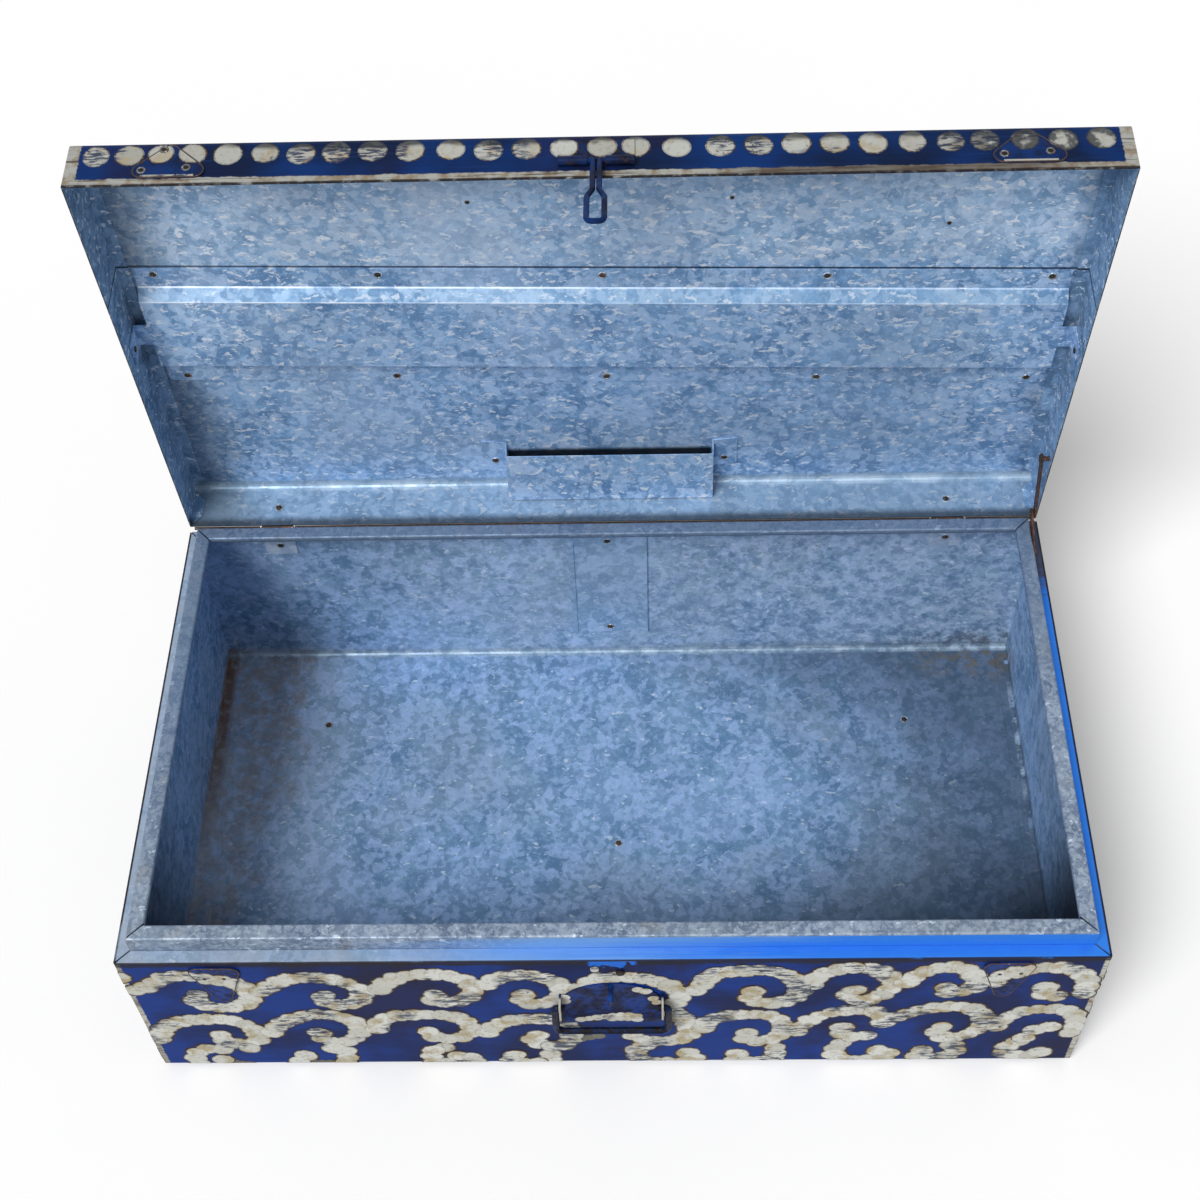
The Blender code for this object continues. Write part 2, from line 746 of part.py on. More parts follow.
def add_hinges(axis, tray, pan):
    """Two butt hinges outside the back, each with a pin and a backing plate inside the wall."""
    middle_half = HINGE_WIDTH * KNUCKLE_SHARE / 2
    knuckle = HINGE_WIDTH / 2 - middle_half - GAP
    knuckle_offset = HINGE_WIDTH / 2 - knuckle / 2
    clear = BARREL + GAP
    low = WALL_HEIGHT - LEAF_LENGTH
    wall = HALF_DEPTH - SHEET
    drop = WALL_HEIGHT - HINGE_RIVET_DROP
    for word, side in SIDE_SIGNS.items():
        x = side * (HALF_WIDTH - HINGE_MARGIN)
        left, right = x - HINGE_WIDTH / 2, x + HINGE_WIDTH / 2
        near, far = HALF_DEPTH + GAP, HALF_DEPTH + GAP + LEAF
        body_leaf = add_box(
            f"hinge_body_leaf_{word}", (left, near, low), (right, far, HINGE_Z - clear), BARE_STEEL
        )
        for name, sign in (("a", -1), ("b", 1)):
            middle = x + sign * knuckle_offset
            arm = add_box(
                f"body_arm_{word}_{name}",
                (middle - knuckle / 2, near, HINGE_Z - 2 * clear),
                (middle + knuckle / 2, far, HINGE_Z),
                None,
            )
            roll = add_rods(
                f"body_knuckle_{word}_{name}",
                [along_x(middle, HINGE_Y, HINGE_Z)],
                BARREL,
                knuckle,
                None,
            )
            join(body_leaf, arm, roll)
        lid_leaf = add_box(
            f"hinge_lid_leaf_{word}",
            (left, near - HINGE_Y, clear),
            (right, far - HINGE_Y, LEAF_LENGTH),
            BARE_STEEL,
            axis,
        )
        arm = add_box(
            f"lid_arm_{word}",
            (x - middle_half, near - HINGE_Y, 0.0),
            (x + middle_half, far - HINGE_Y, 2 * clear),
            None,
            axis,
        )
        roll = add_rods(
            f"lid_knuckle_{word}", [along_x(x, 0.0, 0.0)], BARREL, 2 * middle_half, None, axis
        )
        join(lid_leaf, arm, roll)
        bore = [along_x(x, HINGE_Y, HINGE_Z)]
        bore_cut = add_rods(f"pin_bore_{word}", bore, PIN + GAP, 2 * HINGE_WIDTH, None)
        cut(body_leaf, bore_cut)
        cut(lid_leaf, bore_cut)
        add_rods(f"hinge_pin_{word}", bore, PIN, HINGE_WIDTH + 2 * PIN_END, BARE_STEEL)
        backing = add_box(
            f"hinge_backing_{word}",
            (left, wall - GAP - SHEET, low),
            (right, wall - GAP, WALL_HEIGHT - SHEET - 2 * GAP),
            GALVANISED,
        )
        inside = (x, wall - GAP - SHEET, drop)
        holes = rivet_holes(f"hinge_body_hole_{word}", FACE_FRONT, [inside])
        for piece in (tray, backing, body_leaf):
            cut(piece, holes)
        stack = 2 * SHEET + 2 * GAP + LEAF
        add_rivet(f"hinge_body_rivet_{word}", FACE_FRONT, inside, stack)
        upper = (x, wall - HINGE_Y, HINGE_RIVET_DROP)
        holes = rivet_holes(f"hinge_lid_hole_{word}", FACE_FRONT, [upper], axis)
        cut(pan, holes)
        cut(lid_leaf, holes)
        add_rivet(f"hinge_lid_rivet_{word}", FACE_FRONT, upper, SHEET + GAP + LEAF, axis)


def add_handle(tray):
    """An arched plate with two ears, the wire bail that swings in them, and the padlock staple."""
    half = HANDLE_WIDTH / 2
    radius = (half**2 + HANDLE_ARCH**2) / (2 * HANDLE_ARCH)
    spread = math.asin(min(1.0, half / radius))
    crest = HANDLE_FOOT + HANDLE_ARCH - radius
    outline = [(-half, 0.0), (half, 0.0)]
    steps = 4 * BEND_STEPS
    for step in range(steps + 1):
        angle = spread - 2 * spread * step / steps
        outline.append((radius * math.sin(angle), crest + radius * math.cos(angle)))
    face = -HALF_DEPTH - GAP
    plate = add_outline(
        "handle_plate",
        outline,
        [0.0] * len(outline),
        HANDLE_PLATE,
        FACE_FRONT,
        (0.0, face - HANDLE_PLATE / 2, HANDLE_BOTTOM),
        PAINTED,
    )
    pivot_y = -HALF_DEPTH - BAIL_PIVOT_REACH
    for word, side in SIDE_SIGNS.items():
        outer = side * half
        inner = side * (half - EAR)
        ear = add_box(
            f"handle_ear_{word}",
            (min(outer, inner), face - EAR_REACH, BAIL_PIVOT_HEIGHT - EAR_HEIGHT / 2),
            (max(outer, inner), face - HANDLE_PLATE / 2, BAIL_PIVOT_HEIGHT + EAR_HEIGHT / 2),
            None,
        )
        join(plate, ear)
    pivot = [along_x(0.0, pivot_y, BAIL_PIVOT_HEIGHT)]
    cut(plate, add_rods("bail_bore", pivot, BAIL_WIRE + GAP, HANDLE_WIDTH + CUT_LENGTH, None))
    swing = add_empty("handle_pivot", (0.0, pivot_y, BAIL_PIVOT_HEIGHT))
    leg = half + BAIL_SIDE_PLAY + BAIL_WIRE
    pin = half - EAR - BAIL_PIN
    path = rounded(
        [
            (-pin, 0.0, 0.0),
            (-leg, 0.0, 0.0),
            (-leg, 0.0, -BAIL_LEG),
            (leg, 0.0, -BAIL_LEG),
            (leg, 0.0, 0.0),
            (pin, 0.0, 0.0),
        ],
        [0.0, BAIL_WIRE, BAIL_BEND, BAIL_BEND, BAIL_WIRE, 0.0],
    )
    add_wire("handle_bail", path, BAIL_WIRE, BLUE_WIRE, swing)
    add_staple(tray, plate)


def add_staple(tray, plate):
    low = STAPLE_TOP - STAPLE_PITCH
    inside = -HALF_DEPTH + SHEET + STAPLE_TAIL
    front = -HALF_DEPTH - STAPLE_REACH
    path = rounded(
        [(0.0, inside, STAPLE_TOP), (0.0, front, STAPLE_TOP), (0.0, front, low), (0.0, inside, low)],
        [0.0, STAPLE_BEND, STAPLE_BEND, 0.0],
    )
    add_wire("hasp_staple", path, STAPLE_WIRE, BLUE_WIRE)
    shapes = [
        Matrix.Translation((0.0, -HALF_DEPTH, z)) @ FACE_FRONT for z in (STAPLE_TOP, low)
    ]
    holes = add_rods("staple_holes", shapes, STAPLE_WIRE + GAP, CUT_LENGTH, None, sides=12)
    cut(tray, holes)
    cut(plate, holes)


def add_hasp(axis):
    """A plate rolled into two knuckles on the lid's front skirt, and the bent wire that swings in them."""
    skirt = -HALF_DEPTH - GAP - HINGE_Y
    roll = HASP_WIRE + GAP + HASP_PLATE
    pivot_y = skirt - roll
    half = HASP_PLATE_WIDTH / 2
    plate = add_box(
        "hasp_plate",
        (-half, skirt - HASP_PLATE, HASP_AXIS_HEIGHT + roll + GAP),
        (half, skirt, HASP_PLATE_TOP),
        PAINTED,
        axis,
    )
    knuckle = half - HASP_SLOT / 2
    for word, side in SIDE_SIGNS.items():
        middle = side * (HASP_SLOT + knuckle) / 2
        arm = add_box(
            f"hasp_arm_{word}",
            (middle - knuckle / 2, skirt - HASP_PLATE, HASP_AXIS_HEIGHT),
            (middle + knuckle / 2, skirt, HASP_AXIS_HEIGHT + 2 * roll),
            None,
            axis,
        )
        barrel = add_rods(
            f"hasp_knuckle_{word}",
            [along_x(middle, pivot_y, HASP_AXIS_HEIGHT)],
            roll,
            knuckle,
            None,
            axis,
        )
        join(plate, arm, barrel)
    bore = [along_x(0.0, pivot_y, HASP_AXIS_HEIGHT)]
    cut(plate, add_rods("hasp_bore", bore, HASP_WIRE + GAP, 2 * HASP_PLATE_WIDTH, None, axis))
    swing = add_empty("hasp_pivot", (0.0, pivot_y, HASP_AXIS_HEIGHT), -HASP_LIFT, axis)
    add_hasp_wire(swing)


def add_hasp_wire(swing):
    """One wire: an axle end, a twin neck, and an open loop that goes over the staple."""
    strand = HASP_WIRE + HASP_STRAND_GAP / 2
    wide = HASP_LOOP_WIDTH / 2
    left = [
        (-HASP_AXLE, 0.0, 0.0),
        (-strand, 0.0, 0.0),
        (-strand, 0.0, -HASP_NECK),
        (-wide, 0.0, -HASP_NECK - HASP_FLARE),
        (-wide, 0.0, -HASP_NECK - HASP_FLARE - HASP_LOOP),
    ]
    right = [(-x, y, z) for x, y, z in reversed(left)]
    bends = [0.0, HASP_WIRE, HASP_BEND, HASP_BEND, HASP_BEND]
    path = rounded(left + right, bends + bends[::-1])
    add_wire("hasp_wire", path, HASP_WIRE, BLUE_WIRE, swing)


def clasp_corners(width, height, base, up):
    """The sharp corners of a triangle whose rounded outline is this wide and high, standing on base."""
    half = width / 2 - CLASP_ROUND
    rise = height - 2 * CLASP_ROUND
    lean = math.atan2(half, rise)
    foot = half + CLASP_ROUND / math.cos(lean) + CLASP_ROUND * math.tan(lean)
    peak = rise + CLASP_ROUND + CLASP_ROUND / math.sin(lean)
    return [(-foot, base), (foot, base), (0.0, base + up * peak)]


def add_clasps(axis):
    """Rounded triangular plates, in pairs across the seam between lid and body."""
    kinds = {
        "lid": (CLASP_LID_WIDTH, CLASP_LID_HEIGHT, CLASP_LID_EDGE, 1, axis),
        "body": (CLASP_BODY_WIDTH, CLASP_BODY_HEIGHT, CLASP_BODY_EDGE, -1, None),
    }
    for kind, (width, height, edge, up, parent) in kinds.items():
        corners = clasp_corners(width, height, up * edge, up)
        origin = Vector((0.0, -HALF_DEPTH - GAP - CLASP_PLATE / 2, WALL_HEIGHT))
        if parent:
            origin -= Vector((0.0, HINGE_Y, HINGE_Z))
        for word, side in SIDE_SIGNS.items():
            place = origin + Vector((side * (HALF_WIDTH - CLASP_MARGIN), 0.0, 0.0))
            add_outline(
                f"clasp_plate_{kind}_{word}",
                corners,
                [CLASP_ROUND] * len(corners),
                CLASP_PLATE,
                FACE_FRONT,
                place,
                PAINTED,
                parent,
            )


def link_outline(length, tail):
    """A link's outline with round ends, from the pivot at the origin to tail past its length."""
    half = STAY_WIDTH / 2
    return [(-half, -half), (length + tail, -half), (length + tail, half), (-half, half)]


def add_link(name, length, tail, angle, x, swing):
    """A flat link in the plane across X, pointing from its pivot at this angle above straight forward."""
    across = Matrix.Rotation(angle, 4, (-1, 0, 0)) @ Matrix.Rotation(-math.pi / 2, 4, "Z")
    turn = across @ Matrix.Rotation(math.pi / 2, 4, "X")
    corners = link_outline(length, tail)
    radii = [STAY_WIDTH * 0.49] * len(corners)
    return add_outline(name, corners, radii, STAY_LINK, turn, (x, 0.0, 0.0), RUSTY_STEEL, swing)


def add_stay(axis, rim, end):
    """Two flat links at the right end: the lower on the neck, the upper on the lid, meeting at a slotted elbow."""
    lower_x = HALF_WIDTH - LEDGE + STAY_SIDE_GAP + STAY_LINK / 2
    upper_x = lower_x + STAY_LINK + STAY_LINK_GAP
    upper_place = Vector((0.0, -STAY_LID_FORWARD, STAY_LID_UP))
    reach = Vector((0.0, -math.cos(STAY_UPPER_ANGLE), math.sin(STAY_UPPER_ANGLE))) * STAY_UPPER_LENGTH
    elbow = Matrix.Rotation(-LID_OPEN, 3, "X") @ (upper_place + reach)
    lower_place = Vector((0.0, -STAY_BODY_FORWARD, STAY_BODY_UP))
    run = elbow - lower_place
    lower_length = run.length
    lower_angle = math.atan2(run.z, -run.y)
    lower_swing = add_empty("stay_lower_pivot", lower_place + Vector((0.0, HINGE_Y, HINGE_Z)))
    upper_swing = add_empty("stay_upper_pivot", upper_place, parent=axis)
    tail = STAY_WIDTH / 2
    lower = add_link("stay_lower_link", lower_length, tail, lower_angle, lower_x, lower_swing)
    upper = add_link("stay_upper_link", STAY_UPPER_LENGTH, tail, STAY_UPPER_ANGLE, upper_x, upper_swing)
    hole = STAY_STUD + STAY_HOLE_PLAY
    origin = [along_x(0.0, 0.0, 0.0)]
    for link, swing, word in ((lower, lower_swing, "lower"), (upper, upper_swing, "upper")):
        bore = add_rods(f"stay_bore_{word}", origin, hole, WIDTH * 2, None, swing)
        cut(link, bore)
    add_elbow(lower, upper, lower_length, lower_angle, lower_swing, upper_swing, lower_x, upper_x)
    add_stay_studs(axis, rim, end, lower_place, upper_place, lower_x, upper_x)


def add_elbow(lower, upper, lower_length, lower_angle, lower_swing, upper_swing, lower_x, upper_x):
    """The elbow: a pin on the upper link that runs in a long eye near the lower link's end."""
    half = STAY_PIN + STAY_SIDE_PLAY
    clear = STAY_PIN + STAY_HOLE_PLAY
    corners = [
        (lower_length - STAY_SLIDE - clear, -half),
        (lower_length + clear, -half),
        (lower_length + clear, half),
        (lower_length - STAY_SLIDE - clear, half),
    ]
    across = Matrix.Rotation(lower_angle, 4, (-1, 0, 0)) @ Matrix.Rotation(-math.pi / 2, 4, "Z")
    turn = across @ Matrix.Rotation(math.pi / 2, 4, "X")
    eye = add_outline(
        "stay_eye",
        corners,
        [clear] * len(corners),
        4 * STAY_LINK,
        turn,
        (lower_x, 0.0, 0.0),
        None,
        lower_swing,
    )
    cut(lower, eye)
    reach = Vector((0.0, -math.cos(STAY_UPPER_ANGLE), math.sin(STAY_UPPER_ANGLE))) * STAY_UPPER_LENGTH
    inner = lower_x - STAY_LINK / 2
    outer = upper_x + STAY_LINK / 2 + STAY_HEAD_THICK
    shape = [along_x((inner + outer) / 2, reach.y, reach.z)]
    pin = add_rods("stay_elbow_pin", shape, STAY_PIN, outer - inner, None, upper_swing)
    join(upper, pin)


def add_stay_studs(axis, rim, end, lower_place, upper_place, lower_x, upper_x):
    """Headed studs: one through the rim's neck for the lower link, one through the lid's end for the upper."""
    neck_inside = HALF_WIDTH - LEDGE - SHEET
    lower = lower_place + Vector((0.0, HINGE_Y, HINGE_Z))
    head = lower_x + STAY_LINK / 2 + RIVET_SEAT
    upper_head = upper_x - STAY_LINK / 2 - RIVET_SEAT
    studs = (
        ("stay_lower_stud", neck_inside - RIVET_SEAT, head, 1, lower, None, rim),
        ("stay_upper_stud", HALF_WIDTH + RIVET_SEAT, upper_head, -1, upper_place, axis, end),
    )
    for name, seat, head, sign, place, parent, carrier in studs:
        shank = [along_x((seat + head) / 2, place.y, place.z)]
        stud = add_rods(name, shank, STAY_STUD, abs(head - seat) + 2 * RIVET_SEAT, RIVET_STEEL, parent)
        thin = STAY_HEAD_THICK * (0.5 if sign > 0 else 1.0)
        caps = ((head + sign * thin / 2, thin), (seat - sign * RIVET_TAIL / 2, RIVET_TAIL))
        for word, (x, thick) in zip(("head", "tail"), caps):
            cap = add_rods(
                f"{name}_{word}",
                [along_x(x, place.y, place.z)],
                STAY_STUD_HEAD,
                thick,
                None,
                parent,
            )
            join(stud, cap)
        hole = [along_x(seat, place.y, place.z)]
        cut(carrier, add_rods(f"{name}_hole", hole, STAY_STUD + GAP, CUT_LENGTH / 2, None, parent))


def main():
    axis = add_empty("lid_hinge_axis", (0.0, HINGE_Y, HINGE_Z), -LID_OPEN)
    tray = add_body()
    pan = add_lid(axis)
    add_hinges(axis, tray, pan)
    add_handle(tray)
    add_hasp(axis)
    add_clasps(axis)
    add_stay(axis, bpy.data.objects["rim_right"], bpy.data.objects["lid_end_right"])


main()
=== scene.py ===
"""Looks of a painted steel travel trunk: zinc inside, navy enamel with cream scrolls outside, open lid."""

import logging
import math
import random
from dataclasses import dataclass, field, replace
from enum import Enum
from functools import partial, reduce
from typing import Callable, Iterable, Sequence, Union

import bmesh
import bpy
from mathutils import Matrix, Vector


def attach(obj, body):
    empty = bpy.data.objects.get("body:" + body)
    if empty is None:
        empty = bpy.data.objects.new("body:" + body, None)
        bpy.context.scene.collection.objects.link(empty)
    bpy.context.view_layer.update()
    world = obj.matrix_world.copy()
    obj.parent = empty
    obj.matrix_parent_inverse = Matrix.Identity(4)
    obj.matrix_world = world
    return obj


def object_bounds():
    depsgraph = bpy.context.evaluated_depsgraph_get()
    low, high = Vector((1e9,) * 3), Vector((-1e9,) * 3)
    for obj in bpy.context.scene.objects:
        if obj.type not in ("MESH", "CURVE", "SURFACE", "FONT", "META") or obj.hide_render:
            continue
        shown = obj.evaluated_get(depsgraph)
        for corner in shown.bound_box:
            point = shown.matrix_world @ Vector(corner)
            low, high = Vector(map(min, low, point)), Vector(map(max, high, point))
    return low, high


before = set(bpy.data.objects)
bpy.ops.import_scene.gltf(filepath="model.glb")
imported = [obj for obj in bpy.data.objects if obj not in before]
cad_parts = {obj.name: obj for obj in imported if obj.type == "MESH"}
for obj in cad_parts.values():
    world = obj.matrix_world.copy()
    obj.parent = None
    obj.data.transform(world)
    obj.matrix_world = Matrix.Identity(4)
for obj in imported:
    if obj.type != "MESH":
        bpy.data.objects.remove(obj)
CAD_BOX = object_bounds()

LOG = logging.getLogger("travel_trunk")
MM = 0.001
Pair = tuple[float, float]
Colour = tuple[float, float, float, float]
Socket = bpy.types.NodeSocket
Value = Union[int, float, str, Sequence[float], bpy.types.NodeSocket]
Mask = Union[float, tuple, bpy.types.NodeSocket]
Put = Callable[..., bpy.types.NodeSocket]


class Body(Enum):
    """The bodies of the trunk: a piece rides on one, and a finish's pattern is read in the frame of one.

    The lid's frame is that of the closed lid, with its origin on the hinge line.
    """

    TRUNK = "body"
    LID = "lid"


class Slot(Enum):
    """The record's material slot names for the added pieces; this script doesn't use them."""

    PAINT = "painted_steel"
    RIVET = "rivet_steel"
    WORN = "worn_steel"


class Kind(Enum):
    """The node types in use: type name, inputs in the order they are given, output, fixed settings."""

    SPOT = ("ShaderNodeTexCoord", (), "Object", {})
    NORMAL = ("ShaderNodeTexCoord", (), "Normal", {})
    MARK = ("ShaderNodeAttribute", (), "Fac", {})
    MAPPING = ("ShaderNodeMapping", ("Vector", "Location", "Rotation", "Scale"), 0, {})
    AXES = ("ShaderNodeSeparateXYZ", (0,), 0, {})
    NOISE = ("ShaderNodeTexNoise", ("Vector", "Scale", "Detail", "Roughness"), 0, {})
    DRIFT = ("ShaderNodeTexNoise", ("Vector", "Scale", "Detail", "Roughness"), "Color", {})
    GAMMA = ("ShaderNodeGamma", ("Color", "Gamma"), "Color", {})
    CELLS = ("ShaderNodeTexVoronoi", ("Vector", "Scale", "Smoothness"), "Color", {"feature": "SMOOTH_F1"})
    RANGE = ("ShaderNodeMapRange", (0, 1, 2, 3, 4), 0, {"interpolation_type": "SMOOTHSTEP"})
    MIX = ("ShaderNodeMix", (0, 6, 7), 2, {"data_type": "RGBA"})
    BUMP = ("ShaderNodeBump", ("Height", "Distance", "Strength"), 0, {})
    LIGHT_PATH = ("ShaderNodeLightPath", (), 0, {})
    PLUS = ("ShaderNodeMath", (0, 1), 0, {"operation": "ADD"})
    MINUS = ("ShaderNodeMath", (0, 1), 0, {"operation": "SUBTRACT"})
    TIMES = ("ShaderNodeMath", (0, 1), 0, {"operation": "MULTIPLY"})
    RATIO = ("ShaderNodeMath", (0, 1), 0, {"operation": "DIVIDE"})
    MORE = ("ShaderNodeMath", (0, 1, 2), 0, {"operation": "MULTIPLY_ADD"})
    ROUND = ("ShaderNodeMath", (0, 1), 0, {"operation": "MODULO"})
    HIGHER = ("ShaderNodeMath", (0, 1), 0, {"operation": "MAXIMUM"})
    SIZE = ("ShaderNodeMath", (0,), 0, {"operation": "ABSOLUTE"})
    OVER = ("ShaderNodeMath", (0, 1), 0, {"operation": "GREATER_THAN"})
    UNDER = ("ShaderNodeMath", (0, 1), 0, {"operation": "LESS_THAN"})
    SCALED = ("ShaderNodeVectorMath", (0, 1), 0, {"operation": "MULTIPLY"})
    SHIFTED = ("ShaderNodeVectorMath", (0, 1, 2), 0, {"operation": "MULTIPLY_ADD"})
    BETWEEN = ("ShaderNodeVectorMath", (0, 1), 0, {"operation": "SUBTRACT"})
    DOT = ("ShaderNodeVectorMath", (0, 1), "Value", {"operation": "DOT_PRODUCT"})
    FAR = ("ShaderNodeVectorMath", (0, 1), "Value", {"operation": "DISTANCE"})
    AT_LEAST = ("ShaderNodeVectorMath", (0, 1), 0, {"operation": "MAXIMUM"})
    AT_MOST = ("ShaderNodeVectorMath", (0, 1), 0, {"operation": "MINIMUM"})
    VECTOR = ("ShaderNodeCombineXYZ", (0, 1, 2), 0, {})
    ORDER = ("GeometryNodeInputIndex", (), 0, {})
    PLACE = ("GeometryNodeInputPosition", (), 0, {})
    PATH = ("GeometryNodeMeshToCurve", ("Mesh",), 0, {})
    ALONG = ("GeometryNodeCurveToPoints", ("Curve", "Length"), 0, {"mode": "LENGTH"})
    POINTS = ("GeometryNodeMeshToPoints", ("Mesh",), 0, {})
    MOVED = ("GeometryNodeSetPosition", ("Geometry", "Offset"), 0, {})
    PLACED = ("GeometryNodeSetPosition", ("Geometry", "Position"), 0, {})
    DISC = (
        "GeometryNodeMeshCone",
        ("Radius Top", "Radius Bottom", "Depth", "Vertices", "Side Segments", "Fill Segments"),
        0,
        {"fill_type": "TRIANGLE_FAN"},
    )
    CIRCLE = ("GeometryNodeCurvePrimitiveCircle", ("Resolution", "Radius"), 0, {})
    SWEEP = ("GeometryNodeCurveToMesh", ("Curve", "Profile Curve", "Fill Caps"), 0, {})
    STORED = ("GeometryNodeStoreNamedAttribute", ("Geometry", "Name", "Value"), 0, {"data_type": "FLOAT"})
    CHANCE = ("FunctionNodeRandomValue", (2, 3, "Seed"), 1, {"data_type": "FLOAT"})
    CHANCES = ("FunctionNodeRandomValue", (0, 1, "Seed"), 0, {"data_type": "FLOAT_VECTOR"})
    COPIES = ("GeometryNodeInstanceOnPoints", ("Points", "Instance", "Scale", "Rotation"), 0, {})
    JOINED = ("GeometryNodeJoinGeometry", (0, 0), 0, {})
    SOLID = ("GeometryNodeRealizeInstances", ("Geometry",), 0, {})
    FINISHED = ("GeometryNodeSetMaterial", ("Geometry", "Material"), 0, {})


def linear(code: str) -> Colour:
    """Turns an sRGB hex colour into the linear colour that Blender's sockets take.

    Args:
        code: six hex digits after a #.

    Returns:
        Red, green, blue and alpha, linear.
    """
    parts = [int(code[place : place + 2], 16) / 255 for place in (1, 3, 5)]
    curve = (part / 12.92 if part <= 0.04045 else ((part + 0.055) / 1.055) ** 2.4 for part in parts)
    return (*curve, 1.0)


def add(tree: bpy.types.NodeTree, kind: Kind, *values: Value, **settings: object) -> Socket:
    """Adds one node with its settings, values and links.

    Args:
        tree: the shader or geometry tree.
        kind: the node type.
        *values: for its inputs, in the kind's order: sockets to link, plain values or #hex colours.
        **settings: properties of the node beside the kind's own.

    Returns:
        The kind's output socket.
    """
    name, places, out, fixed = kind.value
    made = tree.nodes.new(name)
    for key, value in {**fixed, **settings}.items():
        setattr(made, key, value)
    for place, value in zip(places, values):
        if isinstance(value, bpy.types.NodeSocket):
            tree.links.new(value, made.inputs[place])
        else:
            is_colour = isinstance(value, str) and value.startswith("#")
            made.inputs[place].default_value = linear(value) if is_colour else value
    return made.outputs[out]


# ---------------------------------------------------------------------------------------------- places


@dataclass(frozen=True)
class TrunkSizes:
    """The trunk's main sizes in metres, as the CAD model has them."""

    half_width: float = 380.0 * MM
    half_depth: float = 213.5 * MM
    wall_height: float = 192.0 * MM
    lid_low: float = 0.3 * MM
    lid_high: float = 44.7 * MM
    hinge_y: float = 216.2 * MM
    hinge_z: float = 192.0 * MM
    lid_open: float = math.radians(85.0)
    plate_stand: float = 1.3 * MM
    rivet_dome: float = 1.2 * MM
    rim_cover: float = 2.2 * MM
    front_foot: float = 4.4 * MM
    end_foot: float = 1.5 * MM
    skirt_cover: float = 1.6 * MM
    bend: float = 6.0 * MM

    @property
    def lid_turn(self) -> Matrix:
        """Matrix from the closed lid's frame, with its origin on the hinge line, to the open lid."""
        hinge = Matrix.Translation((0.0, self.hinge_y, self.hinge_z))
        return hinge @ Matrix.Rotation(-self.lid_open, 4, "X")


SIZES = TrunkSizes()


@dataclass(frozen=True)
class Panel:
    """One face of the trunk: u runs to the right, v upwards and h away from the sheet, in metres."""

    name: str
    body: Body
    place: Matrix
    low: Pair = (-1.0, -1.0)
    high: Pair = (1.0, 1.0)


def facing(right: Sequence[float], up: Sequence[float], origin: Sequence[float]) -> Matrix:
    """Gives the matrix of a face from its rightward and upward directions.

    Args:
        right: the direction of u.
        up: the direction of v.
        origin: where u and v are zero.

    Returns:
        The matrix from (u, v, h) to the face.
    """
    out = Vector(right).cross(Vector(up))
    turn = Matrix((right, up, out)).transposed().to_4x4()
    return Matrix.Translation(origin) @ turn


def trunk_panels(sizes: TrunkSizes) -> dict[str, Panel]:
    """Lists the painted faces of the trunk and of the lid, and the faces inside that carry rivets.

    Args:
        sizes: the trunk's main sizes.

    Returns:
        The panels by name.
    """
    wide, deep, tall = sizes.half_width, sizes.half_depth, sizes.wall_height - sizes.rim_cover
    lid, low, high = sizes.lid_turn, sizes.lid_low, sizes.lid_high
    front, back = -deep - sizes.hinge_y, deep - sizes.hinge_y
    bend, foot, skirt = sizes.bend, sizes.end_foot, high - sizes.skirt_cover
    x, y, z, left, down = (1, 0, 0), (0, 1, 0), (0, 0, 1), (-1, 0, 0), (0, -1, 0)
    top = (0, 0, high)
    made = [
        Panel("front", Body.TRUNK, facing(x, z, (0, -deep, 0)), (-wide, sizes.front_foot), (wide, tall)),
        Panel("back", Body.TRUNK, facing(left, z, (0, deep, 0)), (-wide, bend), (wide, tall)),
        Panel("left", Body.TRUNK, facing(down, z, (-wide, 0, 0)), (-deep, foot), (deep, tall)),
        Panel("right", Body.TRUNK, facing(y, z, (wide, 0, 0)), (-deep, foot), (deep, tall)),
        Panel("lid_front", Body.LID, lid @ facing(x, z, (0, front, 0)), (-wide, low), (wide, skirt)),
        Panel("lid_back", Body.LID, lid @ facing(left, z, (0, back, 0)), (-wide, low), (wide, high - bend)),
        Panel("lid_top", Body.LID, lid @ facing(x, y, top), (-wide, front + bend), (wide, back - bend)),
        Panel("lid_left", Body.LID, lid @ facing(down, z, (-wide, 0, 0)), (-back, low), (-front, high)),
        Panel("lid_right", Body.LID, lid @ facing(y, z, (wide, 0, 0)), (front, low), (back, high)),
        Panel("floor_inside", Body.TRUNK, facing(x, y, (0, 0, 0))),
        Panel("back_inside", Body.TRUNK, facing(x, z, (0, deep, 0))),
        Panel("lid_inside", Body.LID, lid @ facing(x, down, top)),
        Panel("lid_rear_inside", Body.LID, lid @ facing(x, z, (0, back, 0))),
    ]
    return {panel.name: panel for panel in made}


# ------------------------------------------------------------------------------------------- finishes
# Points and patterns are read in millimetres.


LEDGE = (190.4, 190.8)  # heights between which the wall's top ledge starts
STRAP_SKEW = -0.0275  # how far the strap drops over its length


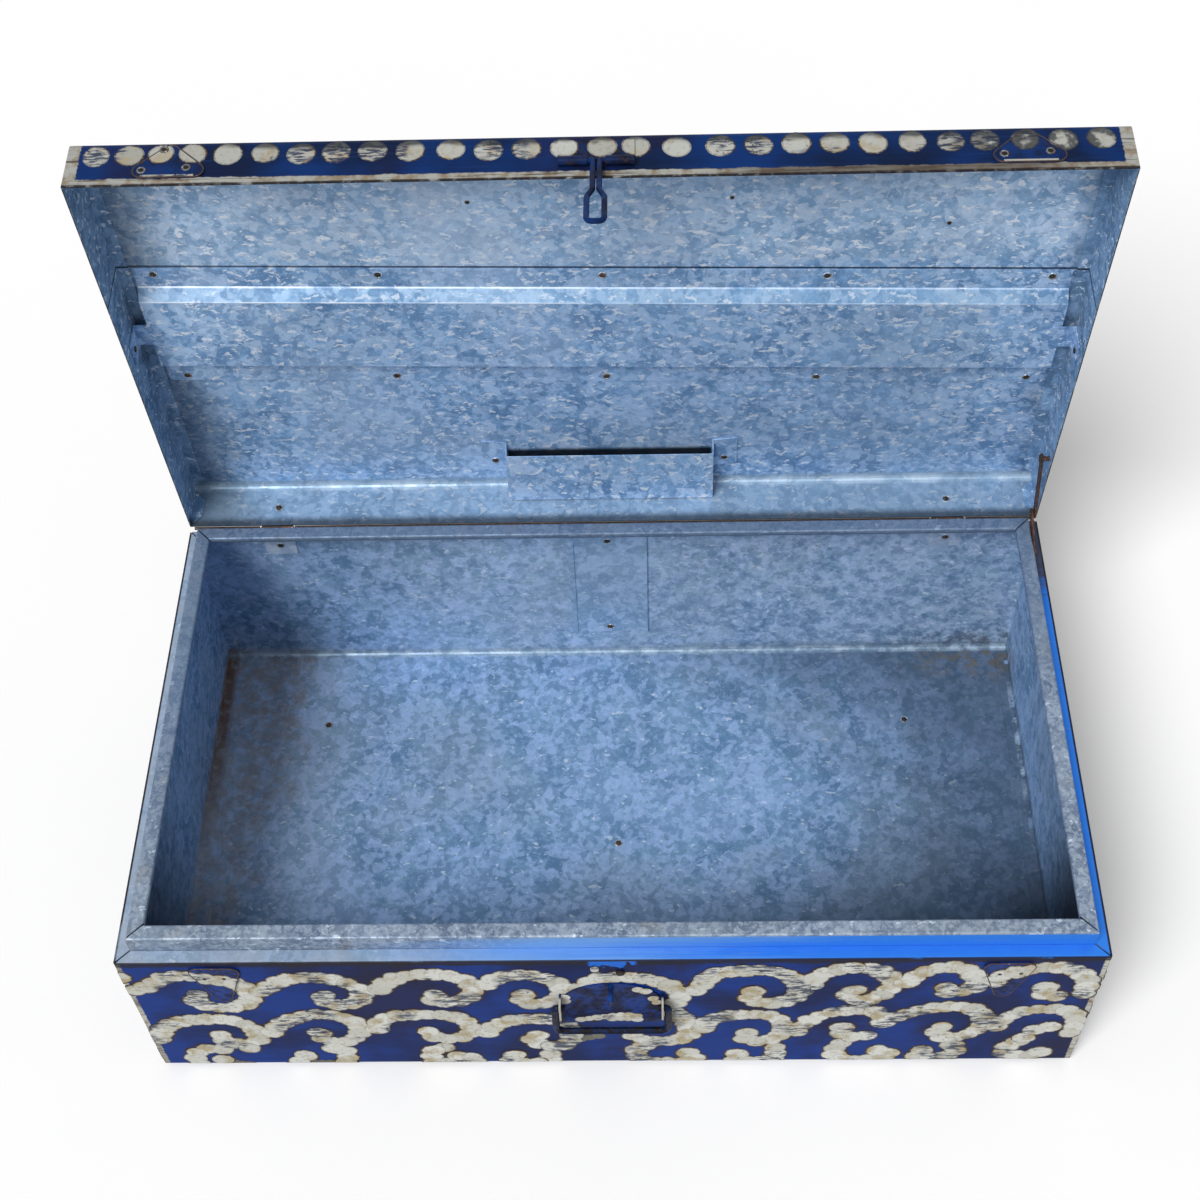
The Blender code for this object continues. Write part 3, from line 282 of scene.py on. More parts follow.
@dataclass(frozen=True)
class Finish:
    """A material: its name, its shine, and a method that paints its nodes."""

    name: str
    roughness: float = 0.5
    metallic: float = 0.0
    gloss: float = 0.12
    side: Body = Body.TRUNK

    def make(self) -> bpy.types.Material:
        """Makes the Blender material with its nodes.

        Returns:
            The material.
        """
        material = bpy.data.materials.new(self.name)
        material.use_nodes = True
        tree = material.node_tree
        shader = tree.nodes["Principled BSDF"]
        shader.inputs["Metallic"].default_value = self.metallic
        shader.inputs["Specular IOR Level"].default_value = self.gloss
        self.paint(partial(add, tree), shader)
        return material

    def paint(self, put: Put, shader: bpy.types.Node) -> None:
        """Adds the finish's own nodes; each finish has its own."""
        raise NotImplementedError

    def point(self, put: Put) -> Socket:
        """Adds the point that the pattern is read at, turned into the closed lid's frame for the lid.

        Args:
            put: adds a node to the material.

        Returns:
            The point's socket, in millimetres.
        """
        back = SIZES.lid_turn.inverted() if self.side is Body.LID else Matrix.Identity(4)
        return put(Kind.MAPPING, put(Kind.SPOT), back.to_translation() / MM, back.to_euler(), (1 / MM,) * 3)

    def dress(
        self, put: Put, shader: bpy.types.Node, colour: Socket, rough: Socket, height: Socket, depth: float
    ) -> None:
        """Links the finish to the shader.

        Args:
            put: adds a node to the material.
            shader: the material's shader.
            colour: the colour.
            rough: the roughness.
            height: the height pattern, 0 to 1.
            depth: how high 1 stands, in metres.
        """
        bump = put(Kind.BUMP, height, depth, 1.0)
        for name, socket in (("Base Color", colour), ("Roughness", rough), ("Normal", bump)):
            shader.id_data.links.new(socket, shader.inputs[name])


def streaks(put: Put, point: Socket, size: Sequence[float], detail: float = 4.0) -> Socket:
    """Adds a brushed pattern.

    Args:
        put: adds a node to the material.
        point: where it is read.
        size: the streaks' size along x, y and z in millimetres.
        detail: the noise's detail.

    Returns:
        The pattern's socket, 0 to 1.
    """
    return put(Kind.NOISE, put(Kind.SCALED, point, tuple(1 / part for part in size)), 1.0, detail, 0.6)


def share_of(put: Put, *masks: Mask) -> Socket:
    """Multiplies masks into one share.

    Args:
        put: adds a node to the material.
        *masks: shares, or a socket with the two values it fades between and, where they are not 0 and 1,
            the shares there.

    Returns:
        The product's socket.
    """
    shares = [put(Kind.RANGE, *mask) if isinstance(mask, tuple) else mask for mask in masks]
    return reduce(partial(put, Kind.TIMES), shares)


def coats(put: Put, colour: Value, *layers: Sequence[Value]) -> Socket:
    """Lays colours one over the other.

    Args:
        put: adds a node to the material.
        colour: the lowest colour.
        *layers: each one's colour, then the masks that it shows through.

    Returns:
        The colour that is seen.
    """
    for fresh, *masks in layers:
        colour = put(Kind.MIX, share_of(put, *masks), colour, fresh)
    return colour


@dataclass(frozen=True)
class SpangledZinc(Finish):
    """Hot-dip galvanised sheet: frosty blue-grey crystals of 5 to 15 mm, bright flakes and dull clouds."""

    roughness: float = 0.46
    metallic: float = 0.3
    gloss: float = 0.15
    dark: str = "#5F83A6"
    middle: str = "#86AACB"
    light: str = "#ABC5EC"
    flake: str = "#D5E3F0"
    flaky: float = 0.65
    dull: str = "#8B97A0"
    crystal: float = 12.0
    grain: float = 4.5

    def zinc(self, put: Put, point: Socket) -> tuple[Socket, Socket, Socket]:
        """Adds the crystals, grain, flakes and clouds of the zinc.

        Args:
            put: adds a node to the material.
            point: where the pattern is read.

        Returns:
            The colour, the roughness and the height.
        """
        spot = put(Kind.SHIFTED, put(Kind.DRIFT, point, 1 / 11, 4.0, 0.5), (9.0,) * 3, point)
        cells = put(Kind.CELLS, spot, 1 / self.crystal, 0.1)
        small = put(Kind.CELLS, spot, 1.9 / self.crystal, 0.1)
        cloud = put(Kind.NOISE, point, 1 / 42, 6.0, 0.62)
        grain = put(Kind.NOISE, point, 1 / self.grain, 8.0, 0.72)
        frost = put(Kind.MORE, cells, 0.5, put(Kind.TIMES, put(Kind.NOISE, spot, 1 / 12, 5.0, 0.6), 0.5))
        flakes = streaks(put, spot, (9.0, 5.0, 5.0), 2.5)
        specks = put(Kind.NOISE, point, 1 / 1.7, 2.0, 0.5)
        wide = put(Kind.NOISE, point, 1 / 170, 4.0, 0.5)
        colour = coats(
            put,
            self.dark,
            (self.middle, (cloud, 0.34, 0.66)),
            (self.light, (frost, 0.51, 0.56, 0.0, 0.50)),
            (self.light, (small, 0.60, 0.63, 0.0, 0.46)),
            (self.dark, (small, 0.38, 0.33, 0.0, 0.42)),
            (self.light, (grain, 0.50, 0.68, 0.0, 0.58)),
            (self.dark, (grain, 0.50, 0.32, 0.0, 0.58)),
            (self.flake, (flakes, self.flaky, self.flaky + 0.03, 0.0, 0.7)),
            (self.flake, (specks, 0.72, 0.76, 0.0, 0.8)),
            (self.dull, (wide, 0.46, 0.66, 0.0, 0.30)),
            (self.light, (wide, 0.48, 0.34, 0.0, 0.32)),
        )
        height = put(Kind.MORE, grain, 0.5, frost)
        rough = put(Kind.RANGE, height, 0.5, 1.0, self.roughness + 0.1, self.roughness - 0.1)
        return colour, rough, height

    def paint(self, put: Put, shader: bpy.types.Node) -> None:
        """Paints bare zinc all over."""
        self.dress(put, shader, *self.zinc(put, self.point(put)), 0.12 * MM)


@dataclass(frozen=True)
class StrapZinc(SpangledZinc):
    """Galvanised strap: as the sheet, with painted shade on the upper slope and a painted highlight along
    each of its two bends.
    """

    bends: Pair = (-258.0, -267.0)

    def paint(self, put: Put, shader: bpy.types.Node) -> None:
        """Paints zinc, painted shade on the slope and a painted highlight along each bend, fading to the
        right.
        """
        point = self.point(put)
        colour, rough, height = self.zinc(put, point)
        x, y, _ = put(Kind.AXES, point).node.outputs
        level = put(Kind.MORE, x, STRAP_SKEW, y)
        rubbed = put(Kind.NOISE, point, 1 / 30, 4.0, 0.6)
        upper, lower = self.bends
        # painted shade: the upper slope darker
        layers = [("#5F7C92", (level, lower, lower + 1.0), (level, upper, upper - 1.0), 0.45)]
        for bend in self.bends:
            off = put(Kind.SIZE, put(Kind.MINUS, level, bend))
            line = (off, 0.9, 0.3), (rubbed, 0.36, 0.54, 0.25, 1.0), (x, 300.0, -330.0, 0.35, 0.85)
            # painted highlight: a bright line along the bend, fading to the right
            layers.append(("#E2EBF4", *line))
        self.dress(put, shader, coats(put, colour, *layers), rough, height, 0.12 * MM)


@dataclass(frozen=True)
class PaintedSheet(SpangledZinc):
    """Galvanised sheet whose outside has brushed navy enamel, rubbed at the edges, with a cream border."""

    gloss: float = 0.08
    navy: str = "#081A4A"
    royal: str = "#0E3482"
    cream: str = "#C9C8BE"
    corner: float = 4.5
    is_end: bool = False

    def along(self, put: Put, axes: Sequence[Socket]) -> tuple[Socket, float]:
        """Gives the distance from the middle of the painted face and half the face's width.

        Args:
            put: adds a node to the material.
            axes: the point's x, y and z.

        Returns:
            The distance's socket and the half width, in millimetres.
        """
        if not self.is_end:
            return put(Kind.SIZE, axes[0]), SIZES.half_width / MM
        shift = SIZES.hinge_y / MM if self.side is Body.LID else 0.0
        return put(Kind.SIZE, put(Kind.PLUS, axes[1], shift)), SIZES.half_depth / MM

    def enamel(self, put: Put, point: Socket, axes: Sequence[Socket]) -> Socket:
        """Adds the outside paint: brushed navy with dark clouds, a cream border and dark rubbed edges.

        Args:
            put: adds a node to the material.
            point: where the pattern is read.
            axes: the point's x, y and z.

        Returns:
            The paint's colour.
        """
        x, y, z = axes
        sway = put(Kind.NOISE, point, 1 / 90, 3.0, 0.55)
        smoke = put(Kind.NOISE, point, 1 / 130, 5.0, 0.6)
        brushed = streaks(put, point, (60.0, 60.0 if self.is_end else 2.2, 2.2))
        rubbed = put(Kind.NOISE, point, 1 / 11, 6.0, 0.6)
        lines = streaks(put, point, (50.0, 9.0, 1.3), 3.0)
        out, half = self.along(put, axes)
        inner = half + 1.0 - self.corner
        border = put(Kind.RANGE, put(Kind.MORE, brushed, 3.0, out), inner, inner + 1.0)
        if self.side is Body.LID:
            edge = put(Kind.MORE, rubbed, 5.0, z)
            border = put(Kind.HIGHER, border, put(Kind.RANGE, edge, 10.4, 9.2))
            worn = (put(Kind.SIZE, put(Kind.MINUS, x, 215.0)), 150.0, 80.0, 0.0, 0.75)
            line = share_of(put, (z, 3.0, 1.6), (rubbed, 0.36, 0.50, 0.3, 0.95))
            rear = share_of(put, (y, -9.0, -6.0), (z, 12.0, 8.0))
            top = put(Kind.HIGHER, put(Kind.HIGHER, put(Kind.RANGE, edge, 44.0, 47.0, 0.0, 0.75), line), rear)
        else:
            worn = (sway, 0.54, 0.64, 0.0, 0.4)
            top = (put(Kind.MORE, rubbed, 9.0, z), 188.5, 191.5, 0.0, 0.85)
        browned = ("#8C7E6A", (rubbed, 0.44, 0.64))
        pale = coats(put, self.cream, browned, ("#40352F", (lines, 0.54, 0.62, 0.0, 0.8)), ("#4C4038", worn))
        layers = [
            (self.royal, (sway, 0.36, 0.60)),
            ("#24437E", (brushed, 0.52, 0.78, 0.0, 0.35)),
            ("#10143A", (brushed, 0.42, 0.24, 0.0, 0.6)),
            ("#191732", (smoke, 0.52, 0.66, 0.0, 0.75)),
            (pale, border),
            ("#1C1920", top),
        ]
        if self.side is Body.TRUNK and not self.is_end:
            # cobalt has run down from the rim over the middle of the front
            off = put(Kind.SIZE, put(Kind.MINUS, x, 2.0))
            run = put(Kind.MORE, rubbed, 34.0, put(Kind.MORE, off, -0.35, z))
            layers.append(("#2A6FD8", (off, 20.0, 16.0), (run, 196.0, 197.0), (y, -200.0, -210.0)))
        return coats(put, self.navy, *layers)

    def lid_stains(self, put: Put, axes: Sequence[Socket], rag: Socket, colour: Socket) -> Socket:
        """Adds painted shade inside the lid, as a dark line over the strap, at the ends, in the pocket's
        mouth and along the hem, and a painted highlight on the rear bend.

        Args:
            put: adds a node to the material.
            axes: the point's x, y and z.
            rag: a ragged pattern.
            colour: the zinc's colour.

        Returns:
            The stained colour.
        """
        x, y, z = axes
        level = put(Kind.MORE, x, STRAP_SKEW, y)
        across = put(Kind.SIZE, x)
        # painted shade: a dark line just above the strap's upper edge
        colour = coats(put, colour, ("#17212E", (level, -288.0, -288.6), (level, -290.6, -290.0), 0.9))
        if not self.is_end:
            colour = put(Kind.GAMMA, colour, put(Kind.RANGE, y, -285.0, -300.0, 1.0, 0.76))
            # painted shade towards the lid's ends
            ends = put(Kind.MORE, rag, 60.0, put(Kind.MORE, x, -0.04, across))
            dull = ("#3A4654", (ends, 358.0, 406.0, 0.0, 0.52))
            colour = coats(put, colour, dull, ("#7E929F", (y, -14.0, -9.0, 0.0, 0.55)))
        return coats(
            put,
            colour,
            ("#0B0F16", (across, 91.5, 89.5), (y, -57.0, -51.0), (y, -18.0, -20.0), 0.96),  # painted shadow in the pocket's mouth
            ("#C4D6E6", (y, -12.0, -9.0), (z, 36.0, 39.0), (rag, 0.40, 0.62, 0.05, 0.5)),  # painted highlight along the rear bend, in ragged patches
            ("#2C333C", (y, -14.0, -11.0), (z, 12.0, 3.0, 0.0, 0.8)),  # painted shade along the hem
        )

    def trunk_stains(
        self, put: Put, point: Socket, axes: Sequence[Socket], rag: Socket, colour: Socket
    ) -> Socket:
        """Adds painted shade on the floor, in the front corners and on the rear bend, painted light on the
        left of the floor and on the back wall, rust, dirt and scratches on the floor, a painted reflection on
        the right wall, painted highlights on the bends and the pale ledge with its dark edge.

        Args:
            put: adds a node to the material.
            point: where the pattern is read.
            axes: the point's x, y and z.
            rag: a ragged pattern.
            colour: the zinc's colour.

        Returns:
            The stained colour.
        """
        x, y, z = axes
        floor = put(Kind.RANGE, z, 16.0, 3.0)
        rear_wall, bend, end_ledge = (y, 205.0, 209.0), (z, 7.0, 4.0), (x, 366.4, 367.6)
        away = put(Kind.FAR, put(Kind.SCALED, point, (1 / 370, 1 / 170, 0.0)), (-0.45, 0.3, 0.0))
        away = put(Kind.MORE, rag, 0.5, away)
        front_wall_shade = put(Kind.MORE, rag, 90.0, y)
        reach = put(Kind.MORE, y, -0.15, put(Kind.MORE, rag, 110.0, x))
        flecks = put(Kind.NOISE, point, 1 / 14, 7.0, 0.7)
        smear = streaks(put, point, (30.0, 10.0, 90.0))
        drawn = streaks(put, point, (4.0, 120.0, 20.0), 3.0)
        far = put(Kind.FAR, put(Kind.SCALED, point, (1.0, 1.0, 0.0)), (-240.0, 8.0, 0.0))
        ring = put(Kind.SIZE, put(Kind.MINUS, put(Kind.MORE, rag, 8.0, far), 95.0))
        rear = share_of(put, (y, 206.0, 209.0), bend)
        side = share_of(put, (x, 374.0, 376.0), bend, (y, 30.0, 50.0), (y, 175.0, 150.0))
        outer = put(Kind.RANGE, put(Kind.SIZE, x), 378.0, 378.8)
        rim = put(Kind.HIGHER, outer, put(Kind.RANGE, y, -212.0, -212.8))
        share, fresh = cobalt_paint(put, point, axes)
        # painted shade: the floor darkens away from a point behind and left of its middle, and towards the
        # front wall
        grime = ("#3A4450", floor, (away, 1.05, 1.75, 0.0, 0.72))
        colour = coats(put, colour, grime, ("#343E4C", floor, (front_wall_shade, 20.0, -110.0, 0.0, 0.55)))
        # painted light: a gamma below 1 lightens the left of the floor and the back wall, apart from its left
        # end
        pale = share_of(put, floor, (x, -200.0, -310.0, 0.0, -0.34), (y, -150.0, 0.0, 0.25, 1.0))
        wall = share_of(put, rear_wall, (x, -290.0, -120.0, 0.0, -0.3))
        colour = put(Kind.GAMMA, colour, put(Kind.PLUS, put(Kind.PLUS, pale, wall), 1.0))
        brown = (reach, -240.0, -290.0, 0.0, 0.62), (flecks, 0.62, 0.40, 0.2, 1.0)
        dirt = (x, 250.0, 350.0, 0.0, 0.7), (y, 160.0, 200.0), (z, 40.0, 10.0)
        return coats(
            put,
            colour,
            ("#22262F", (x, 320.0, 366.0), (y, 0.0, -130.0, 0.0, 0.95), (z, 190.0, 125.0)),  # painted shade low in the front corners
            ("#22262F", (x, -270.0, -366.0), (y, 0.0, -165.0, 0.0, 0.95), (z, 190.0, 125.0)),
            ("#9C8468", floor, *brown, (y, -180.0, 110.0, 0.6, 1.0)),  # brown wash on the left
            # rust at the left bend, then dirt in the rear corner and blue patches on the rear wall
            ("#7A5636", floor, (x, -366.0, -373.0), (y, -60.0, 150.0, 0.1, 0.85), (flecks, 0.38, 0.54)),
            ("#6F6450", *dirt, (flecks, 0.54, 0.44)),
            ("#2C5E8C", rear_wall, (x, -120.0, 200.0, 0.5, 1.0), (flecks, 0.52, 0.42, 0.0, 0.42)),
            ("#A8C6E4", (smear, 0.52, 0.60, 0.0, 0.55), (x, 375.0, 377.0), (y, -40.0, 60.0)),  # painted reflection: pale streaks on the right wall
            ("#A3A6A6", floor, (drawn, 0.62, 0.70, 0.0, 0.5), (x, -180.0, -260.0)),  # scratches
            ("#9FB0C4", floor, (ring, 1.6, 0.4, 0.0, 0.5), (x, -295.0, -312.0)),  # one long curved scratch
            # painted shade dulls the rear bend, under the painted highlights
            ("#6E8598", rear, 0.55),
            ("#B4C6D6", put(Kind.HIGHER, rear, side), (flecks, 0.46, 0.58, 0.0, 0.5)),  # painted highlights on the bends, in flecked patches
            ("#A2ADBB", (z, *LEDGE), (rag, 0.35, 0.65, 0.75, 0.4)),
            ("#1B2544", end_ledge, (y, 100.0, 130.0, 0.0, 0.85), (z, *LEDGE)),  # navy end of the ledge
            (fresh, share),
            ("#251E22", rim, (z, 186.0, 189.0), (rag, 0.30, 0.42, 0.5, 0.95)),  # dark outer edge
        )

    def paint(self, put: Put, shader: bpy.types.Node) -> None:
        """Paints zinc on the inside and enamel on the outside of the sheet."""
        point = self.point(put)
        axes = tuple(put(Kind.AXES, point).node.outputs)
        middle = Vector((0.0, 0.0, 95.0 * MM))
        if self.side is Body.LID:
            middle = SIZES.lid_turn @ Vector((0.0, -SIZES.hinge_y, 22.0 * MM))
        reach = put(Kind.DOT, put(Kind.BETWEEN, put(Kind.SPOT), middle), put(Kind.NORMAL))
        outside = put(Kind.OVER, reach, 0.0)
        colour, rough, height = self.zinc(put, point)
        rag = put(Kind.NOISE, point, 1 / 34, 6.0, 0.6)
        if self.side is Body.LID:
            colour = self.lid_stains(put, axes, rag, colour)
        else:
            outside = put(Kind.TIMES, outside, put(Kind.UNDER, axes[2], 190.6))
            colour = self.trunk_stains(put, point, axes, rag, colour)
        colour = put(Kind.MIX, outside, colour, self.enamel(put, point, axes))
        shine = put(Kind.MIX, outside, rough, (0.52, 0.52, 0.52, 1.0))
        bare = put(Kind.RANGE, outside, 0.0, 1.0, self.metallic, 0.0)
        shader.id_data.links.new(bare, shader.inputs["Metallic"])
        self.dress(put, shader, colour, shine, height, 0.10 * MM)


def cobalt_paint(put: Put, point: Socket, axes: Sequence[Socket]) -> tuple[Socket, Socket]:
    """Adds the fresh cobalt brushed on the rim and its ledge: the right half of the front and the right end.

    Args:
        put: adds a node to the material.
        point: where the pattern is read.
        axes: the point's x, y and z.

    Returns:
        The paint's share, 0 to 1, and its colour.
    """
    x, y, z = axes
    brushed = streaks(put, point, (70.0, 3.0, 3.0))
    drift = put(Kind.MORE, z, -1.6, put(Kind.MORE, brushed, 130.0, x))
    run = put(Kind.MORE, brushed, 60.0, y)
    front = share_of(put, (drift, -450.0, -280.0), (y, -199.0, -201.0))
    right = share_of(put, (x, 366.4, 367.6), (run, 190.0, 150.0))
    ends = (z, *LEDGE), (z, 208.6, 208.0), (brushed, 0.2, 0.4, 0.7, 0.98)
    thin = put(Kind.MORE, brushed, 260.0, put(Kind.MORE, x, -1.0, put(Kind.TIMES, z, 4.0)))
    colour = coats(put, "#3282E6", ("#84B2E4", (thin, 740.0, 980.0, 0.0, 0.7)))
    return share_of(put, put(Kind.HIGHER, front, right), *ends), colour


@dataclass(frozen=True)
class RimZinc(SpangledZinc):
    """Folded zinc strip, handled dull: finer and greyer than the sheet, partly brushed with cobalt paint."""

    roughness: float = 0.55
    metallic: float = 0.4
    dark: str = "#5F6F87"
    middle: str = "#8494A9"
    light: str = "#A9B6C6"
    crystal: float = 6.0
    grain: float = 2.6

    def paint(self, put: Put, shader: bpy.types.Node) -> None:
        """Paints dull stained zinc, bluer at the back, with painted light on the front neck and cobalt over
        it.
        """
        point = self.point(put)
        axes = x, y, z = tuple(put(Kind.AXES, point).node.outputs)
        colour, rough, height = self.zinc(put, point)
        stain = put(Kind.NOISE, point, 1 / 45, 5.0, 0.55)
        share, fresh = cobalt_paint(put, point, axes)
        colour = coats(
            put,
            colour,
            ("#8A8272", (stain, 0.56, 0.72, 0.0, 0.45)),
            ("#57708F", (put(Kind.MORE, x, -0.2, y), -150.0, 130.0, 0.0, 0.6)),
            # painted light: the front neck paler
            ("#CBD9EA", (y, -202.0, -206.0), (z, 209.0, 207.0), 0.7),
            (fresh, share),
        )
        bare = put(Kind.RANGE, share, 0.0, 1.0, self.metallic, 0.0)
        shader.id_data.links.new(bare, shader.inputs["Metallic"])
        self.dress(put, shader, colour, rough, height, 0.06 * MM)


@dataclass(frozen=True)
class CreamDaub(Finish):
    """Thick cream oil paint dabbed with a round brush: ochre tints, brown rims, rubbed off in streaks."""

    gloss: float = 0.08
    wear: float = 0.50
    pale: str = "#E1E2DC"
    dull: str = "#C8C8BE"
    ochre: str = "#AA955E"
    under: str = "#353F55"
    grime: float = 0.0
    strokes: tuple[float, float, float] = (11.0, 11.0, 2.4)

    def paint(self, put: Put, shader: bpy.types.Node) -> None:
        """Paints cream with ochre stains, a brown rim to each daub, rubbed streaks and grime higher up."""
        point = self.point(put)
        edge, shade = put(Kind.MARK, attribute_name="edge"), put(Kind.MARK, attribute_name="shade")
        cloud = put(Kind.NOISE, point, 1 / 16, 5.0, 0.6)
        fine = put(Kind.NOISE, point, 1 / 3.5, 4.0, 0.6)
        where = put(Kind.NOISE, point, 1 / 52, 3.0, 0.55)
        brushed = streaks(put, point, self.strokes)
        layers = [
            (self.dull, shade),
            (self.ochre, (cloud, 0.48, 0.66, 0.0, 0.70)),
            ("#938C80", (fine, 0.52, 0.72, 0.0, 0.6)),
            ("#3E2E22", (edge, 0.83, 0.95), (fine, 0.36, 0.50, 0.5, 1.0), (cloud, 0.42, 0.54, 0.4, 1.0)),
            (self.under, (where, self.wear, self.wear + 0.08), (brushed, 0.45, 0.56, 0.0, 0.9)),
            ("#2C2A33", (fine, 0.62, 0.68), (where, 0.44, 0.56)),
        ]
        if self.grime:
            x, _, z = put(Kind.AXES, point).node.outputs
            height = put(Kind.MORE, brushed, 5.0, put(Kind.MORE, where, 18.0, z))
            high = share_of(put, (height, 43.0, 49.0, 0.0, self.grime), (x, -290.0, -250.0))
            worn = share_of(put, (x, 210.0, 300.0, 0.0, self.grime), (cloud, 0.40, 0.50))
            layers.append(("#2F343C", put(Kind.HIGHER, high, worn)))
        rough = put(Kind.RANGE, fine, 0.3, 0.7, 0.45, 0.65)
        self.dress(put, shader, coats(put, self.pale, *layers), rough, fine, 0.15 * MM)


@dataclass(frozen=True)
class WornEnamel(Finish):
    """Blue enamel on wire or plate: a soft gloss, with brown rust where it chipped."""

    roughness: float = 0.4
    gloss: float = 0.1
    deep: str = "#0B1C50"
    bright: str = "#143C90"
    chip: str = "#33251F"
    chipped: float = 0.63
    rubbed_reach: float = 0.0

    def paint(self, put: Put, shader: bpy.types.Node) -> None:
        """Paints blue enamel with rubbed streaks and chips down to brown steel."""
        point = self.point(put)
        cloud = put(Kind.NOISE, point, 1 / 14, 4.0, 0.55)
        fine = put(Kind.NOISE, point, 1 / 4, 6.0, 0.55)
        brushed = streaks(put, point, (18.0, 1.6, 1.6))
        layers = [
            (self.bright, (cloud, 0.38, 0.62)),
            ("#24437E", (brushed, 0.58, 0.78, 0.0, 0.4)),
            (self.chip, (fine, self.chipped, self.chipped + 0.05)),
        ]
        if self.rubbed_reach:
            reach = put(Kind.MORE, fine, -6.0, put(Kind.AXES, point).node.outputs[1])
            layers.append(("#B9B6AA", (reach, self.rubbed_reach - 3.0, self.rubbed_reach - 7.0)))
        rough = put(Kind.RANGE, fine, 0.4, 0.7, self.roughness, 0.62)
        self.dress(put, shader, coats(put, self.deep, *layers), rough, fine, 0.2 * MM)


@dataclass(frozen=True)
class AgedSteel(Finish):
    """Plain mild steel gone brown: dark scale, rust specks and rubbed bright spots."""

    roughness: float = 0.55
    metallic: float = 0.7
    gloss: float = 0.5
    scale: str = "#4B423E"
    rust: str = "#6E4A33"
    bright: str = "#A8A49C"
    shine: float = 0.62

    def paint(self, put: Put, shader: bpy.types.Node) -> None:
        """Paints brown steel with rust and rubbed spots."""
        point = self.point(put)
        cloud = put(Kind.NOISE, point, 1 / 7, 5.0, 0.55)
        fine = put(Kind.NOISE, point, 1 / 1.8, 4.0, 0.55)
        rubbed = (self.bright, (fine, self.shine, self.shine + 0.1))
        colour = coats(put, self.scale, (self.rust, (cloud, 0.44, 0.62)), rubbed)
        rough = put(Kind.RANGE, fine, 0.4, 0.75, self.roughness + 0.15, self.roughness - 0.15)
        self.dress(put, shader, colour, rough, fine, 0.12 * MM)


# ------------------------------------------------------------------------------------- geometry trees


class Layout(Enum):
    """How repeated marks are set out: along paths, or one on each point."""

    ALONG = "along"
    SPOTS = "spots"


def new_tree(name: str, sockets: Iterable[tuple[str, str]]) -> bpy.types.NodeTree:
    """Makes a geometry tree with named inputs and one geometry output.

    Args:
        name: the tree's name.
        sockets: each input's name and kind: Geometry, Float, Int, Vector or Material.

    Returns:
        The tree, with a group input and a group output node.
    """
    tree = bpy.data.node_groups.new(name, "GeometryNodeTree")
    for label, kind in sockets:
        tree.interface.new_socket(name=label, in_out="INPUT", socket_type=f"NodeSocket{kind}")
    tree.interface.new_socket(name="Geometry", in_out="OUTPUT", socket_type="NodeSocketGeometry")
    tree.nodes.new("NodeGroupInput")
    tree.nodes.new("NodeGroupOutput")
    return tree


def daub_tree(layout: Layout) -> bpy.types.NodeTree:
    """Builds the tree that sets round brush daubs along paths or on points, cut off at the panel's borders.

    Args:
        layout: along paths, or one on each point.

    Returns:
        The tree, with Pitch, Radius, Thickness, Step, Low, High, Uneven, Seed and Material as inputs.
    """
    sizes = [(name, "Float") for name in ("Pitch", "Radius", "Thickness", "Step", "Uneven")]
    others = [("Low", "Vector"), ("High", "Vector"), ("Seed", "Int"), ("Material", "Material")]
    tree = new_tree(f"paint_daubs_{layout.value}", [("Geometry", "Geometry"), *sizes, *others])
    put, given = partial(add, tree), tree.nodes["Group Input"].outputs
    if layout is Layout.ALONG:
        spots = put(Kind.ALONG, put(Kind.PATH, given["Geometry"]), given["Pitch"])
    else:
        spots = put(Kind.POINTS, given["Geometry"])
    rise = put(Kind.TIMES, put(Kind.ROUND, put(Kind.ORDER), 97.0), given["Step"])
    spots = put(Kind.MOVED, spots, put(Kind.VECTOR, 0.0, 0.0, rise))
    inner = put(Kind.TIMES, given["Radius"], 0.9)
    daub = put(Kind.DISC, inner, given["Radius"], given["Thickness"], 18, 1, 2)
    far = put(Kind.FAR, put(Kind.SCALED, put(Kind.PLACE), (1.0, 1.0, 0.0)), (0.0, 0.0, 0.0))
    daub = put(Kind.STORED, daub, "edge", put(Kind.RATIO, far, given["Radius"]))
    least, most = put(Kind.MINUS, 1.0, given["Uneven"]), put(Kind.PLUS, 1.0, given["Uneven"])
    small, large = put(Kind.VECTOR, least, least, 1.0), put(Kind.VECTOR, most, most, 1.0)
    size = put(Kind.CHANCES, small, large, given["Seed"])
    turn = put(Kind.CHANCES, (0.0, 0.0, 0.0), (0.0, 0.0, 3.0), given["Seed"])
    placed = put(Kind.COPIES, spots, daub, size, turn)
    tint = put(Kind.CHANCE, 0.0, 1.0, given["Seed"])
    solid = put(Kind.SOLID, put(Kind.STORED, placed, "shade", tint, domain="INSTANCE"))
    kept = put(Kind.AT_MOST, put(Kind.AT_LEAST, put(Kind.PLACE), given["Low"]), given["High"])
    solid = put(Kind.FINISHED, put(Kind.PLACED, solid, kept), given["Material"])
    tree.links.new(solid, tree.nodes["Group Output"].inputs["Geometry"])
    return tree


